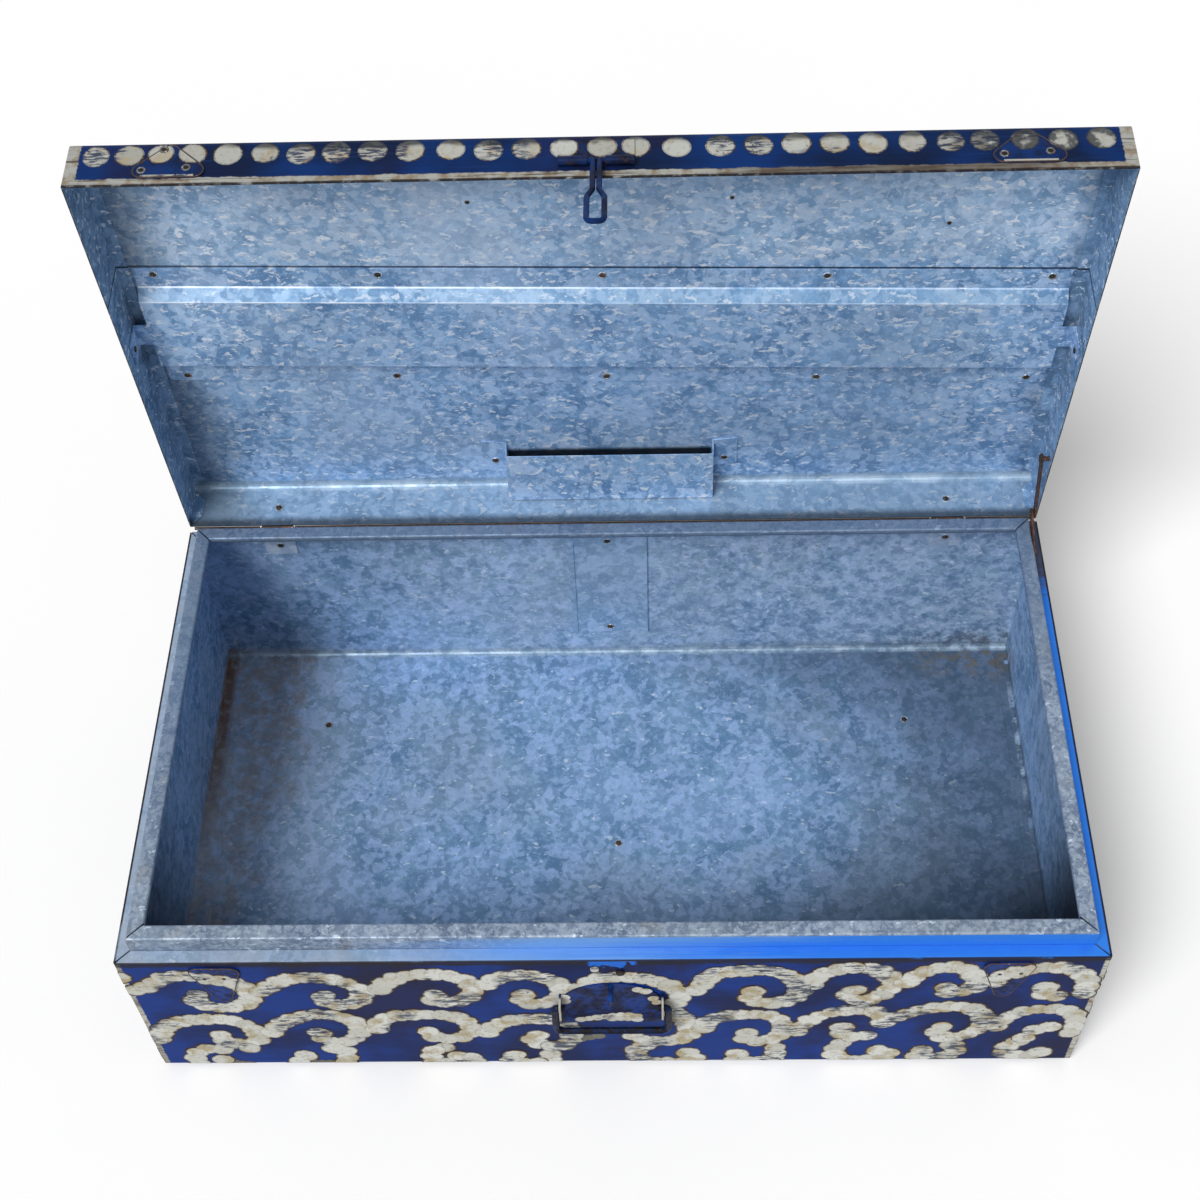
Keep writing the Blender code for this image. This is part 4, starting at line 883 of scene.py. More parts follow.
def eyelet_tree() -> bpy.types.NodeTree:
    """Builds the tree that sets a hollow rivet, a low ring round a dark hole, on each point.

    Returns:
        The tree, with Radius, Wire, Hole, Material and Dark as inputs.
    """
    sizes = [(name, "Float") for name in ("Radius", "Wire", "Hole")]
    looks = [("Material", "Material"), ("Dark", "Material")]
    tree = new_tree("hollow_rivets", [("Geometry", "Geometry"), *sizes, *looks])
    put, given = partial(add, tree), tree.nodes["Group Input"].outputs
    ring = put(Kind.SWEEP, put(Kind.CIRCLE, 14, given["Radius"]), put(Kind.CIRCLE, 6, given["Wire"]))
    hole = put(Kind.DISC, given["Hole"], given["Hole"], put(Kind.TIMES, given["Wire"], 0.5), 12, 1, 1)
    ring, hole = put(Kind.FINISHED, ring, given["Material"]), put(Kind.FINISHED, hole, given["Dark"])
    both = put(Kind.JOINED, ring, hole)
    placed = put(Kind.COPIES, put(Kind.POINTS, given["Geometry"]), both)
    tree.links.new(put(Kind.SOLID, placed), tree.nodes["Group Output"].inputs["Geometry"])
    return tree


def bead_tree() -> bpy.types.NodeTree:
    """Builds the tree that sweeps a thin bead along each path.

    Returns:
        The tree, with Wire and Material as inputs.
    """
    tree = new_tree("plate_bead", [("Geometry", "Geometry"), ("Wire", "Float"), ("Material", "Material")])
    put, given = partial(add, tree), tree.nodes["Group Input"].outputs
    solid = put(Kind.SWEEP, put(Kind.PATH, given["Geometry"]), put(Kind.CIRCLE, 8, given["Wire"]), True)
    solid = put(Kind.FINISHED, put(Kind.SOLID, solid), given["Material"])
    tree.links.new(solid, tree.nodes["Group Output"].inputs["Geometry"])
    return tree


def grow(
    name: str,
    tree: bpy.types.NodeTree,
    paths: Sequence[Sequence[Sequence[float]]],
    values: dict[str, object],
    is_closed: bool = False,
) -> bpy.types.Mesh:
    """Runs a geometry tree over paths and keeps the result as a plain mesh.

    Args:
        name: the mesh's name.
        tree: the geometry tree.
        paths: the paths' points in the panel's own frame, in metres.
        values: the tree's inputs by name.
        is_closed: whether each path ends where it starts.

    Returns:
        The plain mesh.
    """
    verts: list[Sequence[float]] = []
    edges: list[tuple[int, int]] = []
    for path in paths:
        first = len(verts)
        verts.extend(path)
        edges.extend((place, place + 1) for place in range(first, len(verts) - 1))
        if is_closed:
            edges.append((len(verts) - 1, first))
    seed = bpy.data.meshes.new(f"{name}_paths")
    seed.from_pydata(verts, edges, [])
    holder = bpy.data.objects.new(f"{name}_paths", seed)
    bpy.context.scene.collection.objects.link(holder)
    runner = holder.modifiers.new("marks", "NODES")
    runner.node_group = tree
    for item in tree.interface.items_tree:
        if item.in_out == "INPUT" and item.name in values:
            runner[item.identifier] = values[item.name]
    bpy.context.view_layer.update()
    graph = bpy.context.evaluated_depsgraph_get()
    done = holder.evaluated_get(graph)
    mesh = bpy.data.meshes.new_from_object(done, preserve_all_data_layers=True, depsgraph=graph)
    mesh.name = name
    holder.modifiers.remove(runner)
    bpy.data.objects.remove(holder)
    bpy.data.meshes.remove(seed)
    return mesh


def show(mesh: bpy.types.Mesh, panel: Panel) -> bpy.types.Object:
    """Puts a finished mesh on its face as a piece that rides on the face's body.

    Args:
        mesh: its mesh, in the panel's frame.
        panel: the face.

    Returns:
        The piece's object, named as its mesh.
    """
    mesh.transform(panel.place)
    piece = bpy.data.objects.new(mesh.name, mesh)
    bpy.context.scene.collection.objects.link(piece)
    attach(piece, panel.body.value)
    LOG.info("%s: %d faces on %s", mesh.name, len(mesh.polygons), panel.body.value)
    return piece


# -------------------------------------------------------------------------------------------- paintwork


# Centre lines on the front, u and v in turn, in millimetres from the middle of its bottom edge: the scrolls,
# olive-grey smears, cream on the handle plate and the clasp plates' rivet holes
FRONT_SCROLLS = (
    (-381, 168, -376, 160),
    (-374, 146, -363, 152, -355, 160, -346, 168, -335, 171, -322, 170, -310, 167, -299, 164, -290, 157,
     -284, 146, -283, 132, -290, 120, -302, 113, -315, 113, -326, 119, -330, 129, -326, 137),
    (-275, 143, -265, 153, -254, 163, -240, 167, -225, 166, -213, 162, -202, 154, -196, 144, -196, 131,
     -202, 121, -213, 116, -224, 118, -229, 127, -227, 133),
    (-181, 146, -174, 158, -163, 167, -150, 171, -137, 171, -123, 168, -113, 161, -108, 150, -108, 138,
     -114, 127, -125, 121, -137, 121, -143, 128, -138, 134),
    (-97, 152, -87, 165, -75, 169, -63, 169, -52, 164, -42, 156, -37, 144, -40, 131, -48, 121, -60, 115,
     -70, 120, -74, 129, -69, 133),
    (-24, 145, -19, 153, -10, 161, 2, 164, 12, 164, 23, 163, 34, 157, 47, 148, 54, 136, 54, 125, 50, 117),
    (66, 140, 71, 150, 75, 160, 81, 169, 93, 172, 107, 174, 120, 175, 133, 169, 142, 159, 147, 147, 148,
     134, 142, 122, 129, 115, 115, 118, 108, 128, 111, 137),
    (155, 149, 159, 162, 168, 173, 183, 178, 196, 177, 205, 173, 214, 164, 219, 153, 217, 140, 211, 128,
     201, 119, 190, 121, 184, 130, 190, 138),
    (229, 151, 235, 163, 246, 175, 261, 178, 273, 173, 280, 162, 285, 150, 281, 140, 271, 133, 260, 132,
     261, 141),
    (296, 154, 301, 166, 312, 171, 324, 174, 337, 177, 350, 174, 361, 166, 368, 154, 370, 140, 369, 130),
    (349, 125, 340, 127, 337, 137, 338, 140),
    (-374, 54, -370, 66, -365, 77, -356, 85, -344, 90, -329, 92, -314, 92, -301, 86, -294, 75, -291, 62,
     -293, 50, -303, 43, -315, 45, -323, 53, -322, 61),
    (-279, 66, -273, 78, -262, 89, -249, 97, -234, 101, -219, 96, -209, 86, -205, 72, -209, 58, -218, 47,
     -232, 46, -241, 54, -240, 64),
    (-192, 72, -189, 85, -179, 95, -167, 98, -153, 98, -140, 98, -128, 95, -119, 88, -115, 77, -117, 63,
     -124, 54, -137, 51, -148, 56, -151, 66),
    (-103, 63, -97, 75, -87, 84, -74, 89, -60, 89, -48, 87, -39, 80, -34, 68, -34, 55, -37, 42, -44, 35,
     -54, 36, -65, 42, -69, 51, -62, 57),
    (50, 98, 55, 92, 60, 79, 62, 66, 61, 54, 51, 44, 37, 44, 24, 47, 16, 55),
    (73, 69, 76, 82, 87, 91, 100, 94, 113, 95, 127, 92, 136, 83, 138, 71, 138, 58, 131, 47, 117, 42, 108,
     48, 109, 59),
    (149, 62, 154, 76, 162, 89, 175, 97, 188, 101, 200, 102, 209, 99, 215, 91, 218, 78),
    (206, 53, 194, 50, 186, 55, 186, 69),
    (227, 88, 238, 97, 250, 104, 263, 107, 277, 107, 290, 101, 298, 88, 298, 73, 293, 58, 281, 49, 268, 50,
     262, 59, 266, 69),
    (310, 69, 314, 86, 325, 97, 340, 102, 353, 102, 365, 97, 372, 86, 373, 70, 371, 56),
    (353, 68, 346, 70, 340, 59, 335, 47),
    (-303, 35, -312, 31),
    (-326, 33, -337, 35, -348, 28, -352, 16, -350, 3),
    (-329, 12, -327, 8),
    (-258, 19, -265, 8),
    (-232, 34, -223, 27, -223, 16, -226, 4),
    (-140, 34, -149, 31, -153, 19, -152, 4, -140, 2),
    (-131, 17, -118, 14, -118, 4),
    (-83, 18, -87, 5, -69, 2, -55, 5, -53, 19),
    (25, 35, 18, 25, 19, 10, 26, 3, 45, 1),
    (61, 20, 67, 9, 60, 2),
    (102, 17, 100, 4, 117, 2, 131, 5, 134, 17, 133, 30),
    (187, 38, 181, 23, 185, 9, 196, 2, 214, 5, 226, 8, 229, 18, 218, 23),
    (255, 22, 251, 11, 265, 6, 278, 12, 284, 23, 279, 33),
    (331, 40, 323, 28, 323, 15, 335, 12, 348, 10, 353, 18),
)
FRONT_SMEARS = (
    (-332, 3, -320, 5, -308, 2),
    (-272, 2, -256, 5, -240, 4, -228, 1),
    (-34, 46, -24, 50, -12, 55),
)
HANDLE_DAUBS = (
    (-25, 90, -17, 92, -8, 94, 2, 97, 12, 99, 20, 96),
    (0, 91, 10, 92, 20, 90),
    (21, 144, 27, 141),
    (33, 128, 36, 121),
    (-37, 131, -37, 124),
)
CLASP_HOLES = (
    (-315, 181),
    (-299, 182),
    (-314, 168),
    (-299, 168),
    (298.6, 167),
    (314.7, 168),
)
# One scroll of the running pattern, from its left joint, in millimetres
SCROLL = [
    (0, 0), (8, 11), (18, 19), (31, 24), (46, 24), (60, 20), (72, 12), (79, 0), (79, -13), (73, -24),
    (62, -30), (49, -30), (41, -22), (44, -13),
]
# Dots on the lid's front skirt, from the middle; hollow rivets there and marks inside the lid, with their
# stand off the panel
FRONT_DOTS = [
    -359, -335, -312, -289, -264, -237, -211, -186, -160, -133, -104, -77, -50, -23, 4, 28, 57, 88, 115, 142,
    169, 196, 224, 251, 275, 303, 330, 357,
]
LID_EYELETS = [(-324, 14, 1.4), (-292, 16, 1.4), (-310, 34, 1.5), (287, 15, 1.4), (319.5, 17, 1.4)]
LID_MARKS = [(-99, 363, 0.9), (99, 363, 0.9), (264, 332, 0.9)]


@dataclass(frozen=True)
class ScrollRows:
    """Rows of the running scroll for the faces that are not traced one by one."""

    low: Pair
    high: Pair
    rows: Sequence[float]
    pitch: float = 86.0
    seed: int = 1

    def paths(self) -> list[list[Pair]]:
        """Sets out the scrolls row by row, each a little different.

        Returns:
            The scrolls' centre lines in millimetres.
        """
        dice = random.Random(self.seed)
        count = max(1, round((self.high[0] - self.low[0]) / self.pitch))
        pitch = (self.high[0] - self.low[0]) / count
        made: list[list[Pair]] = []
        for row in self.rows:
            for place in range(count):
                start = self.low[0] + place * pitch + dice.uniform(-3.0, 3.0)
                rise = row + dice.uniform(-3.0, 3.0)
                wide, tall = dice.uniform(0.96, 1.05) * pitch / self.pitch, dice.uniform(0.92, 1.06)
                path = [(start + u * wide, rise + v * tall) for u, v in SCROLL]
                made.append([(u, v) for u, v in path if self.low[1] - 5 < v < self.high[1] + 5])
        return [path for path in made if len(path) > 1]


@dataclass(frozen=True)
class ClaspOutline:
    """The rounded triangle of a clasp plate on a panel, in metres: base, direction of its tip and size."""

    name: str
    middle: float
    base: float
    up: int
    width: float
    height: float
    round: float = 7.0 * MM

    def outline(self, inset: float = 0.0) -> list[Pair]:
        """Follows the rounded outline.

        Args:
            inset: how far inside the plate's edge, in metres.

        Returns:
            The outline's points on the panel.
        """
        half, turn = self.width / 2 - self.round, self.round - inset
        centres = [(-half, self.round), (half, self.round), (0.0, self.height - self.round)]
        lean = math.atan2(half, self.height - 2 * self.round)
        arcs = [(math.pi - lean, 1.5 * math.pi), (-0.5 * math.pi, lean), (lean, math.pi - lean)]
        points = []
        for (u, v), (start, end) in zip(centres, arcs):
            for place in range(7):
                angle = start + (end - start) * place / 6
                points.append((u + turn * math.cos(angle), v + turn * math.sin(angle)))
        return [(self.middle + u, self.base + self.up * v) for u, v in points]


SIDES = (("left", -305 * MM), ("right", 305 * MM))
BODY_CLASPS = [ClaspOutline(f"body_{side}", u, 185 * MM, -1, 40 * MM, 57.4 * MM) for side, u in SIDES]
LID_CLASPS = [ClaspOutline(f"lid_{side}", u, 7 * MM, 1, 52 * MM, 31.8 * MM) for side, u in SIDES]
HASP_PLATE = [(u * MM, v * MM) for u, v in ((-27.0, 6.0), (27.0, 6.0), (27.0, 36.0), (-27.0, 36.0))]


def lift(mesh: bpy.types.Mesh, outline: Sequence[Pair], rise: float, slope: float = 0.9 * MM) -> None:
    """Lifts the paint that runs over a plate, with a steep step at the plate's edge.

    Args:
        mesh: the paint's mesh in the panel's frame.
        outline: the convex outline of the plate.
        rise: how far the plate's face stands off the panel.
        slope: how wide the step is.
    """
    corners = [Vector((*corner, 0.0)) for corner in outline]
    middle = sum(corners, Vector()) / len(corners)
    reach = max((corner - middle).length for corner in corners) + 25 * MM
    sides = []
    for start, end in zip(corners, corners[1:] + corners[:1]):
        out = (end - start).cross(Vector((0.0, 0.0, 1.0))).normalized()
        sides.append((start, out if out.dot(start - middle) > 0 else -out))
    work = bmesh.new()
    work.from_mesh(mesh)
    faces = [face for face in work.faces if (face.calc_center_median() - middle).length < reach]
    geometry = list({part for face in faces for part in (face, *face.edges, *face.verts)})
    for start, out in sides:
        for gap in (0.0, slope):
            spot = start + out * gap
            made = bmesh.ops.bisect_plane(work, geom=geometry, dist=1e-7, plane_co=spot, plane_no=out)
            geometry = made["geom"]
    for vert in work.verts:
        if all((vert.co - start).dot(out) < 0.01 * MM for start, out in sides):
            vert.co.z += rise
    work.to_mesh(mesh)
    work.free()


@dataclass
class DaubPaint:
    """Round brush daubs of one paint on one face."""

    panel: Panel
    finish: bpy.types.Material
    name: str
    seed: int = 3
    radius: float = 10.3 * MM
    pitch: float = 11.0 * MM
    thickness: float = 0.10 * MM
    layer: float = 0.003 * MM
    stand: float = 0.06 * MM
    uneven: float = 0.12

    def build(self, tree: bpy.types.NodeTree, paths: Sequence[Sequence[Pair]]) -> bpy.types.Mesh:
        """Makes the daubs along paths or on points.

        Args:
            tree: the daub tree.
            paths: centre lines or single points on the panel, in millimetres.

        Returns:
            The daubs' mesh in the panel's frame.
        """
        lines = [[(u * MM, v * MM, self.stand) for u, v in path] for path in paths]
        values = {
            "Pitch": self.pitch,
            "Radius": self.radius,
            "Thickness": self.thickness,
            "Step": self.layer,
            "Low": (*self.panel.low, 0.0),
            "High": (*self.panel.high, 1.0),
            "Uneven": self.uneven,
            "Seed": self.seed,
            "Material": self.finish,
        }
        return grow(self.name, tree, lines, values)

    def dress(self, mesh: bpy.types.Mesh, plates: Sequence[Sequence[Pair]] = ()) -> bpy.types.Object:
        """Lifts the daubs that lie over plates and puts the mesh on its face.

        Args:
            mesh: the daubs' mesh in the panel's frame.
            plates: the outlines of the plates that the paint runs over.

        Returns:
            The piece's object.
        """
        for plate in plates:
            lift(mesh, plate, SIZES.plate_stand)
        return show(mesh, self.panel)


@dataclass
class Fastenings:
    """Hollow rivets, worn rings round rivet heads, beads on the clasp plates and the lid's rolled hem, whose
    dark brown also stands as painted shade over the gap at the lid's rear edge.
    """

    steel: bpy.types.Material
    pale: bpy.types.Material
    dark: bpy.types.Material
    brown: bpy.types.Material
    cream: bpy.types.Material
    bead_wire: float = 0.6 * MM
    bead_inset: float = 0.5 * MM
    bead_sink: float = 0.2 * MM
    edge_wire: float = 0.9 * MM
    edge_rise: float = 1.6 * MM
    worn_ring: Sequence[float] = (3.2 * MM, 0.5 * MM, 1.0 * MM)
    hem_wire: float = 1.4 * MM
    hem_place: Pair = (0.7 * MM, 44.9 * MM)
    hem_spans: Sequence[Pair] = ((-376.0, -316.8), (-285.2, 285.2), (316.8, 376.0))

    def rings(
        self,
        name: str,
        panel: Panel,
        spots: Iterable[Sequence[float]],
        sizes: Sequence[float],
        metal: bpy.types.Material,
    ) -> bpy.types.Object:
        """Sets a ring round a dark hole on each spot of a face.

        Args:
            name: the piece's name.
            panel: the face.
            spots: the rings' middles on the panel, in metres.
            sizes: the ring's radius, half its thickness and the hole's radius, in metres.
            metal: the ring's material.

        Returns:
            The piece's object.
        """
        values = {**dict(zip(("Radius", "Wire", "Hole"), sizes)), "Material": metal, "Dark": self.dark}
        return show(grow(name, eyelet_tree(), [[spot] for spot in spots], values), panel)

    def rivet_rings(self, panel: Panel, *starts: str) -> bpy.types.Object:
        """Sets a pale worn ring round each rivet head on a face.

        Args:
            panel: the face inside the trunk or the lid.
            *starts: how the rivets' node names start.

        Returns:
            The piece's object.
        """
        back = panel.place.inverted()
        spots = []
        for name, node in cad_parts.items():
            if name.startswith(starts):
                u, v, h = zip(*(back @ vertex.co for vertex in node.data.vertices))
                spots.append(((min(u) + max(u)) / 2, (min(v) + max(v)) / 2, max(h) - SIZES.rivet_dome))
        return self.rings(f"{panel.name}_rivet_rings", panel, spots, self.worn_ring, self.pale)

    def beads(self, panel: Panel, clasps: Sequence[ClaspOutline], has_edge: bool) -> None:
        """Sweeps the worn bead round each clasp plate, and the cream one along its base.

        Args:
            panel: the face that the plates stand on.
            clasps: the plates' outlines.
            has_edge: whether the base has a cream edge.
        """
        stand = SIZES.plate_stand
        for clasp in clasps:
            path = [(u, v, stand - self.bead_sink) for u, v in clasp.outline(self.bead_inset)]
            values = {"Wire": self.bead_wire, "Material": self.brown}
            bead = grow(f"clasp_bead_{clasp.name}", bead_tree(), [path], values, is_closed=True)
            show(bead, panel)
            if has_edge:
                half, rise = clasp.width / 2 - clasp.round, clasp.base + self.edge_rise
                path = [(clasp.middle + share * half, rise, stand) for share in (-1.0, -0.4, 0.3, 1.0)]
                values = {"Wire": self.edge_wire, "Material": self.cream}
                show(grow(f"clasp_edge_{clasp.name}", bead_tree(), [path], values), panel)

    def hems(self, panel: Panel) -> bpy.types.Object:
        """Sweeps the rolled hem along the rear edge of the lid, left out at the hinges; its dark brown covers
        the gap there as painted shade.

        Args:
            panel: the inside face of the lid's top.

        Returns:
            The piece's object.
        """
        paths = [[(u * MM, *self.hem_place) for u in span] for span in self.hem_spans]
        # dark brown, so the hem also stands as painted shade over the gap at the lid's rear edge
        values = {"Wire": self.hem_wire, "Material": self.brown}
        return show(grow("lid_rear_hem_and_gap_shade", bead_tree(), paths, values), panel)


# ------------------------------------------------------------------------------------------- the trunk


# The lid's zinc is a lighter copy of the body's: painted light on the inside of the lid.
LID_ZINC_WITH_PAINTED_LIGHT = {
    "side": Body.LID,
    "dark": "#5F87B4",
    "middle": "#93BDE8",
    "light": "#C2DCFA",
    "flaky": 0.60,
    "flake": "#F2F8FF",
    "dull": "#8CA8C6",
}
LID_PAINT = {**LID_ZINC_WITH_PAINTED_LIGHT, "navy": "#051838", "royal": "#0A2F69", "cream": "#A6A7A2"}
# The zinc inside the lid's ends is darker than the lid panel's: painted shade on the ends.
LID_END_PAINT_WITH_PAINTED_SHADE = {**LID_PAINT, "dark": "#5E7E9E", "middle": "#7EA0C2", "light": "#9EBEDE", "is_end": True}
SEAM_ZINC = {"dark": "#7A9CBE", "middle": "#9DBEDC", "light": "#BED4F0"}
BACKING_ZINC = {"dark": "#86A0C0", "middle": "#A9BFD8", "light": "#CBDAEA"}
CLASP_BLUE = {"deep": "#081A4A", "bright": "#0E3482", "chipped": 0.62}
LID_CLASP_BLUE = {"side": Body.LID, "deep": "#051A40", "bright": "#0A2C64", "chipped": 0.62}
HANDLE_BLUE = {"deep": "#060F30", "bright": "#0F3278", "rubbed_reach": -216.5}
HASP_BLUE = {"side": Body.LID, "deep": "#0A1228", "bright": "#0E2450", "chipped": 0.56}
BAIL_BLUE = {"deep": "#0A0A12", "bright": "#0B234C", "chip": "#1A1310", "chipped": 0.50}
WIRE_BLUE = {"side": Body.LID, "deep": "#051230", "bright": "#0A2C60", "chipped": 0.70}
STAPLE_BLUE = {"deep": "#08183F", "bright": "#104088"}
STAY_STEEL = {"roughness": 0.65, "metallic": 0.4, "scale": "#3A2B26", "rust": "#5E3B2A"}
RIVET_STEEL = {"metallic": 0.5, "scale": "#2B2724", "rust": "#4B3A2E", "bright": "#8E9196", "shine": 0.6}


@dataclass
class Trunk:
    """The CAD pieces and their finishes, by the start of a node's name; the last one is for the rivets."""

    finishes: dict[str, Finish] = field(
        default_factory=lambda: {
            "body_tray": PaintedSheet("galvanised_sheet_brush_painted_trunk"),
            "end_panel": PaintedSheet("galvanised_sheet_brush_painted_ends", is_end=True),
            "lid_pan": PaintedSheet("galvanised_sheet_brush_painted_lid", corner=9.0, **LID_PAINT),
            "lid_end": PaintedSheet("galvanised_sheet_brush_painted_lid_ends", **LID_END_PAINT_WITH_PAINTED_SHADE),
            "lid_strap": StrapZinc("galvanised_sheet_folded_strap", **LID_ZINC_WITH_PAINTED_LIGHT),
            "lid_pocket": SpangledZinc("galvanised_sheet_folded_pocket", **LID_ZINC_WITH_PAINTED_LIGHT),
            "back_seam": SpangledZinc("galvanised_sheet_hemmed_strip", **SEAM_ZINC),
            "hinge_backing": SpangledZinc("galvanised_sheet_backing", **BACKING_ZINC),
            "rim_": RimZinc("dull_zinc_folded_rim"),
            "clasp_plate_body": WornEnamel("navy_enamel_on_clasp_plate", **CLASP_BLUE),
            "clasp_plate_lid": WornEnamel("navy_enamel_on_lid_clasp", **LID_CLASP_BLUE),
            "handle_plate": WornEnamel("navy_enamel_on_handle_plate", **HANDLE_BLUE),
            "hasp_plate": WornEnamel("navy_enamel_on_hasp_plate", **HASP_BLUE),
            "handle_bail": WornEnamel("blue_enamel_on_bail_wire", **BAIL_BLUE),
            "hasp_wire": WornEnamel("blue_enamel_on_hasp_wire", **WIRE_BLUE),
            "hasp_staple": WornEnamel("blue_enamel_on_staple_wire", **STAPLE_BLUE),
            "stay_": AgedSteel("rusted_steel_bar_stay", **STAY_STEEL),
            "hinge_": AgedSteel("worn_steel_butt_hinge"),
            "": AgedSteel("rivet_steel_set_heads", **RIVET_STEEL),
        }
    )

    def dress(self) -> None:
        """Gives every CAD node its material."""
        made = {start: finish.make() for start, finish in self.finishes.items()}
        for name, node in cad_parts.items():
            start = "" if "rivet" in name else next(key for key in made if name.startswith(key))
            node.data.materials.clear()
            node.data.materials.append(made[start])
            LOG.info("%s: %s", name, made[start].name)


LID_STROKES = {"side": Body.LID, "strokes": (16.0, 1.5, 1.5)}
SMEAR_GREY = {"pale": "#77766C", "dull": "#66665F", "ochre": "#6E6753"}
GRIME_BROWN = {"pale": "#3A2B22", "dull": "#2A2430", "ochre": "#4C3826", "under": "#141C3E"}
DARK_HEADS = {"scale": "#211D1E", "rust": "#3A2C25", "bright": "#777470"}
DOT_CREAM = {
    "side": Body.LID,
    "wear": 0.48,
    "grime": 0.85,
    "pale": "#BFC1BC",
    "dull": "#A4A49C",
    "ochre": "#A8987A",
    "under": "#22304F",
}
HOLLOW_STEEL = {"scale": "#6C6E70", "rust": "#5E5348", "bright": "#B4B8BC", "shine": 0.55}
RUBBED_ZINC = {"scale": "#93A3B6", "rust": "#8C8577", "bright": "#D9E2EC", "shine": 0.5}
DARK_STEEL = {"scale": "#1F1C1E", "rust": "#3A2B23", "bright": "#5A5550", "shine": 0.7}
BEAD_STEEL = {"metallic": 0.2, "scale": "#2E231E", "rust": "#453026", "bright": "#7D7264"}
EDGE_CREAM = {"side": Body.LID, "wear": 0.42, "pale": "#A9A9A2", "dull": "#8C8A82"}


@dataclass
class Paintwork:
    """All painted ornament on the outside of the trunk, and the small rivets and marks."""

    panels: dict[str, Panel]
    row_pitch: float = 72.0
    dot_pitch: float = 26.0
    dot_middle: float = 29.8
    dot_radius: float = 10.4 * MM
    dot_margin: float = 20.0
    handle_low: Pair = (-40.5 * MM, 84.6 * MM)
    handle_high: Pair = (40.5 * MM, 154.0 * MM)
    eyelet: Sequence[float] = (2.6 * MM, 0.85 * MM, 2.6 * MM)
    mark: Sequence[float] = (1.7 * MM, 0.35 * MM, 1.7 * MM)

    def front_paint(self, along: bpy.types.NodeTree, cream: bpy.types.Material) -> None:
        """Paints the front: the traced scrolls with their grime, the smears, the handle plate and the rivets.

        Args:
            along: the tree that sets daubs along paths.
            cream: the scrolls' paint.
        """
        spots = daub_tree(Layout.SPOTS)
        grey = CreamDaub("olive_grey_oil_paint_smears", **SMEAR_GREY).make()
        brown = CreamDaub("brown_grime_round_daubs", **GRIME_BROWN).make()
        steel = AgedSteel("rivet_steel_dark_heads", **DARK_HEADS).make()
        front = self.panels["front"]
        handle = replace(front, low=self.handle_low, high=self.handle_high)
        thin = {"radius": 11.2 * MM, "thickness": 0.03 * MM, "layer": 0.0002 * MM, "stand": 0.03 * MM}
        head = {"radius": 3.6 * MM, "thickness": 1.4 * MM, "stand": 0.7 * MM}
        smear, daub = {"radius": 6.0 * MM, "stand": 0.045 * MM}, {"radius": 5.2 * MM, "stand": 1.36 * MM}
        hole = {"radius": 1.7 * MM, "stand": 1.5 * MM}
        plates = [clasp.outline() for clasp in BODY_CLASPS]
        for paint, tree, flat, over in (
            (DaubPaint(front, grey, "front_grey_smears", pitch=6.0 * MM, **smear), along, FRONT_SMEARS, ()),
            (DaubPaint(front, brown, "front_scroll_grime", **thin), along, FRONT_SCROLLS, plates),
            (DaubPaint(front, cream, "front_scroll_daubs"), along, FRONT_SCROLLS, plates),
            (DaubPaint(handle, cream, "handle_plate_daubs", pitch=6.0 * MM, **daub), along, HANDLE_DAUBS, ()),
            (DaubPaint(front, steel, "clasp_plate_holes", **hole), spots, CLASP_HOLES, ()),
            (DaubPaint(front, cream, "front_rivet_pale", **head), spots, ((-11.5, 180),), ()),
            (DaubPaint(front, steel, "front_rivet_dark", **head), spots, ((8, 173),), ()),
        ):
            paint.dress(paint.build(tree, [list(zip(path[::2], path[1::2])) for path in flat]), over)

    def scrolls(self) -> None:
        """Paints the front and running scrolls on the other large faces."""
        cream = CreamDaub("cream_oil_paint_brush_daubs").make()
        lid_cream = CreamDaub("cream_oil_paint_lid_daubs", **LID_STROKES).make()
        along = daub_tree(Layout.ALONG)
        self.front_paint(along, cream)
        for place, name in enumerate(("back", "left", "right", "lid_top")):
            panel = self.panels[name]
            low, high = ((u / MM + edge, v / MM) for (u, v), edge in ((panel.low, 4), (panel.high, -4)))
            count = max(2, round((high[1] - low[1]) / self.row_pitch))
            levels = [low[1] + (high[1] - low[1]) * (row + 0.55) / count for row in range(count)]
            finish = lid_cream if panel.body is Body.LID else cream
            paint = DaubPaint(panel, finish, f"{name}_scroll_daubs", 11 + place)
            paint.dress(paint.build(along, ScrollRows(low, high, levels, seed=21 + place).paths()))

    def dots(self) -> None:
        """Paints the row of dots round the lid's skirt."""
        spots = daub_tree(Layout.SPOTS)
        finish = CreamDaub("cream_oil_paint_lid_dots", **DOT_CREAM).make()
        front_plates = [*(clasp.outline() for clasp in LID_CLASPS), HASP_PLATE]
        for place, name in enumerate(("lid_front", "lid_back", "lid_left", "lid_right")):
            panel, is_front = self.panels[name], name == "lid_front"
            low, high = panel.low[0] / MM + self.dot_margin, panel.high[0] / MM - self.dot_margin
            count = round((high - low) / self.dot_pitch)
            row = [low + (high - low) * step / count for step in range(count + 1)]
            dice = random.Random(5 + place)
            across = FRONT_DOTS if is_front else row
            middles = [[(u, self.dot_middle + dice.uniform(-0.8, 0.8))] for u in across]
            size = {"radius": self.dot_radius, "layer": 0.0, "uneven": 0.06}
            paint = DaubPaint(panel, finish, f"{name}_dots", 5 + place, **size)
            paint.dress(paint.build(spots, middles), front_plates if is_front else ())

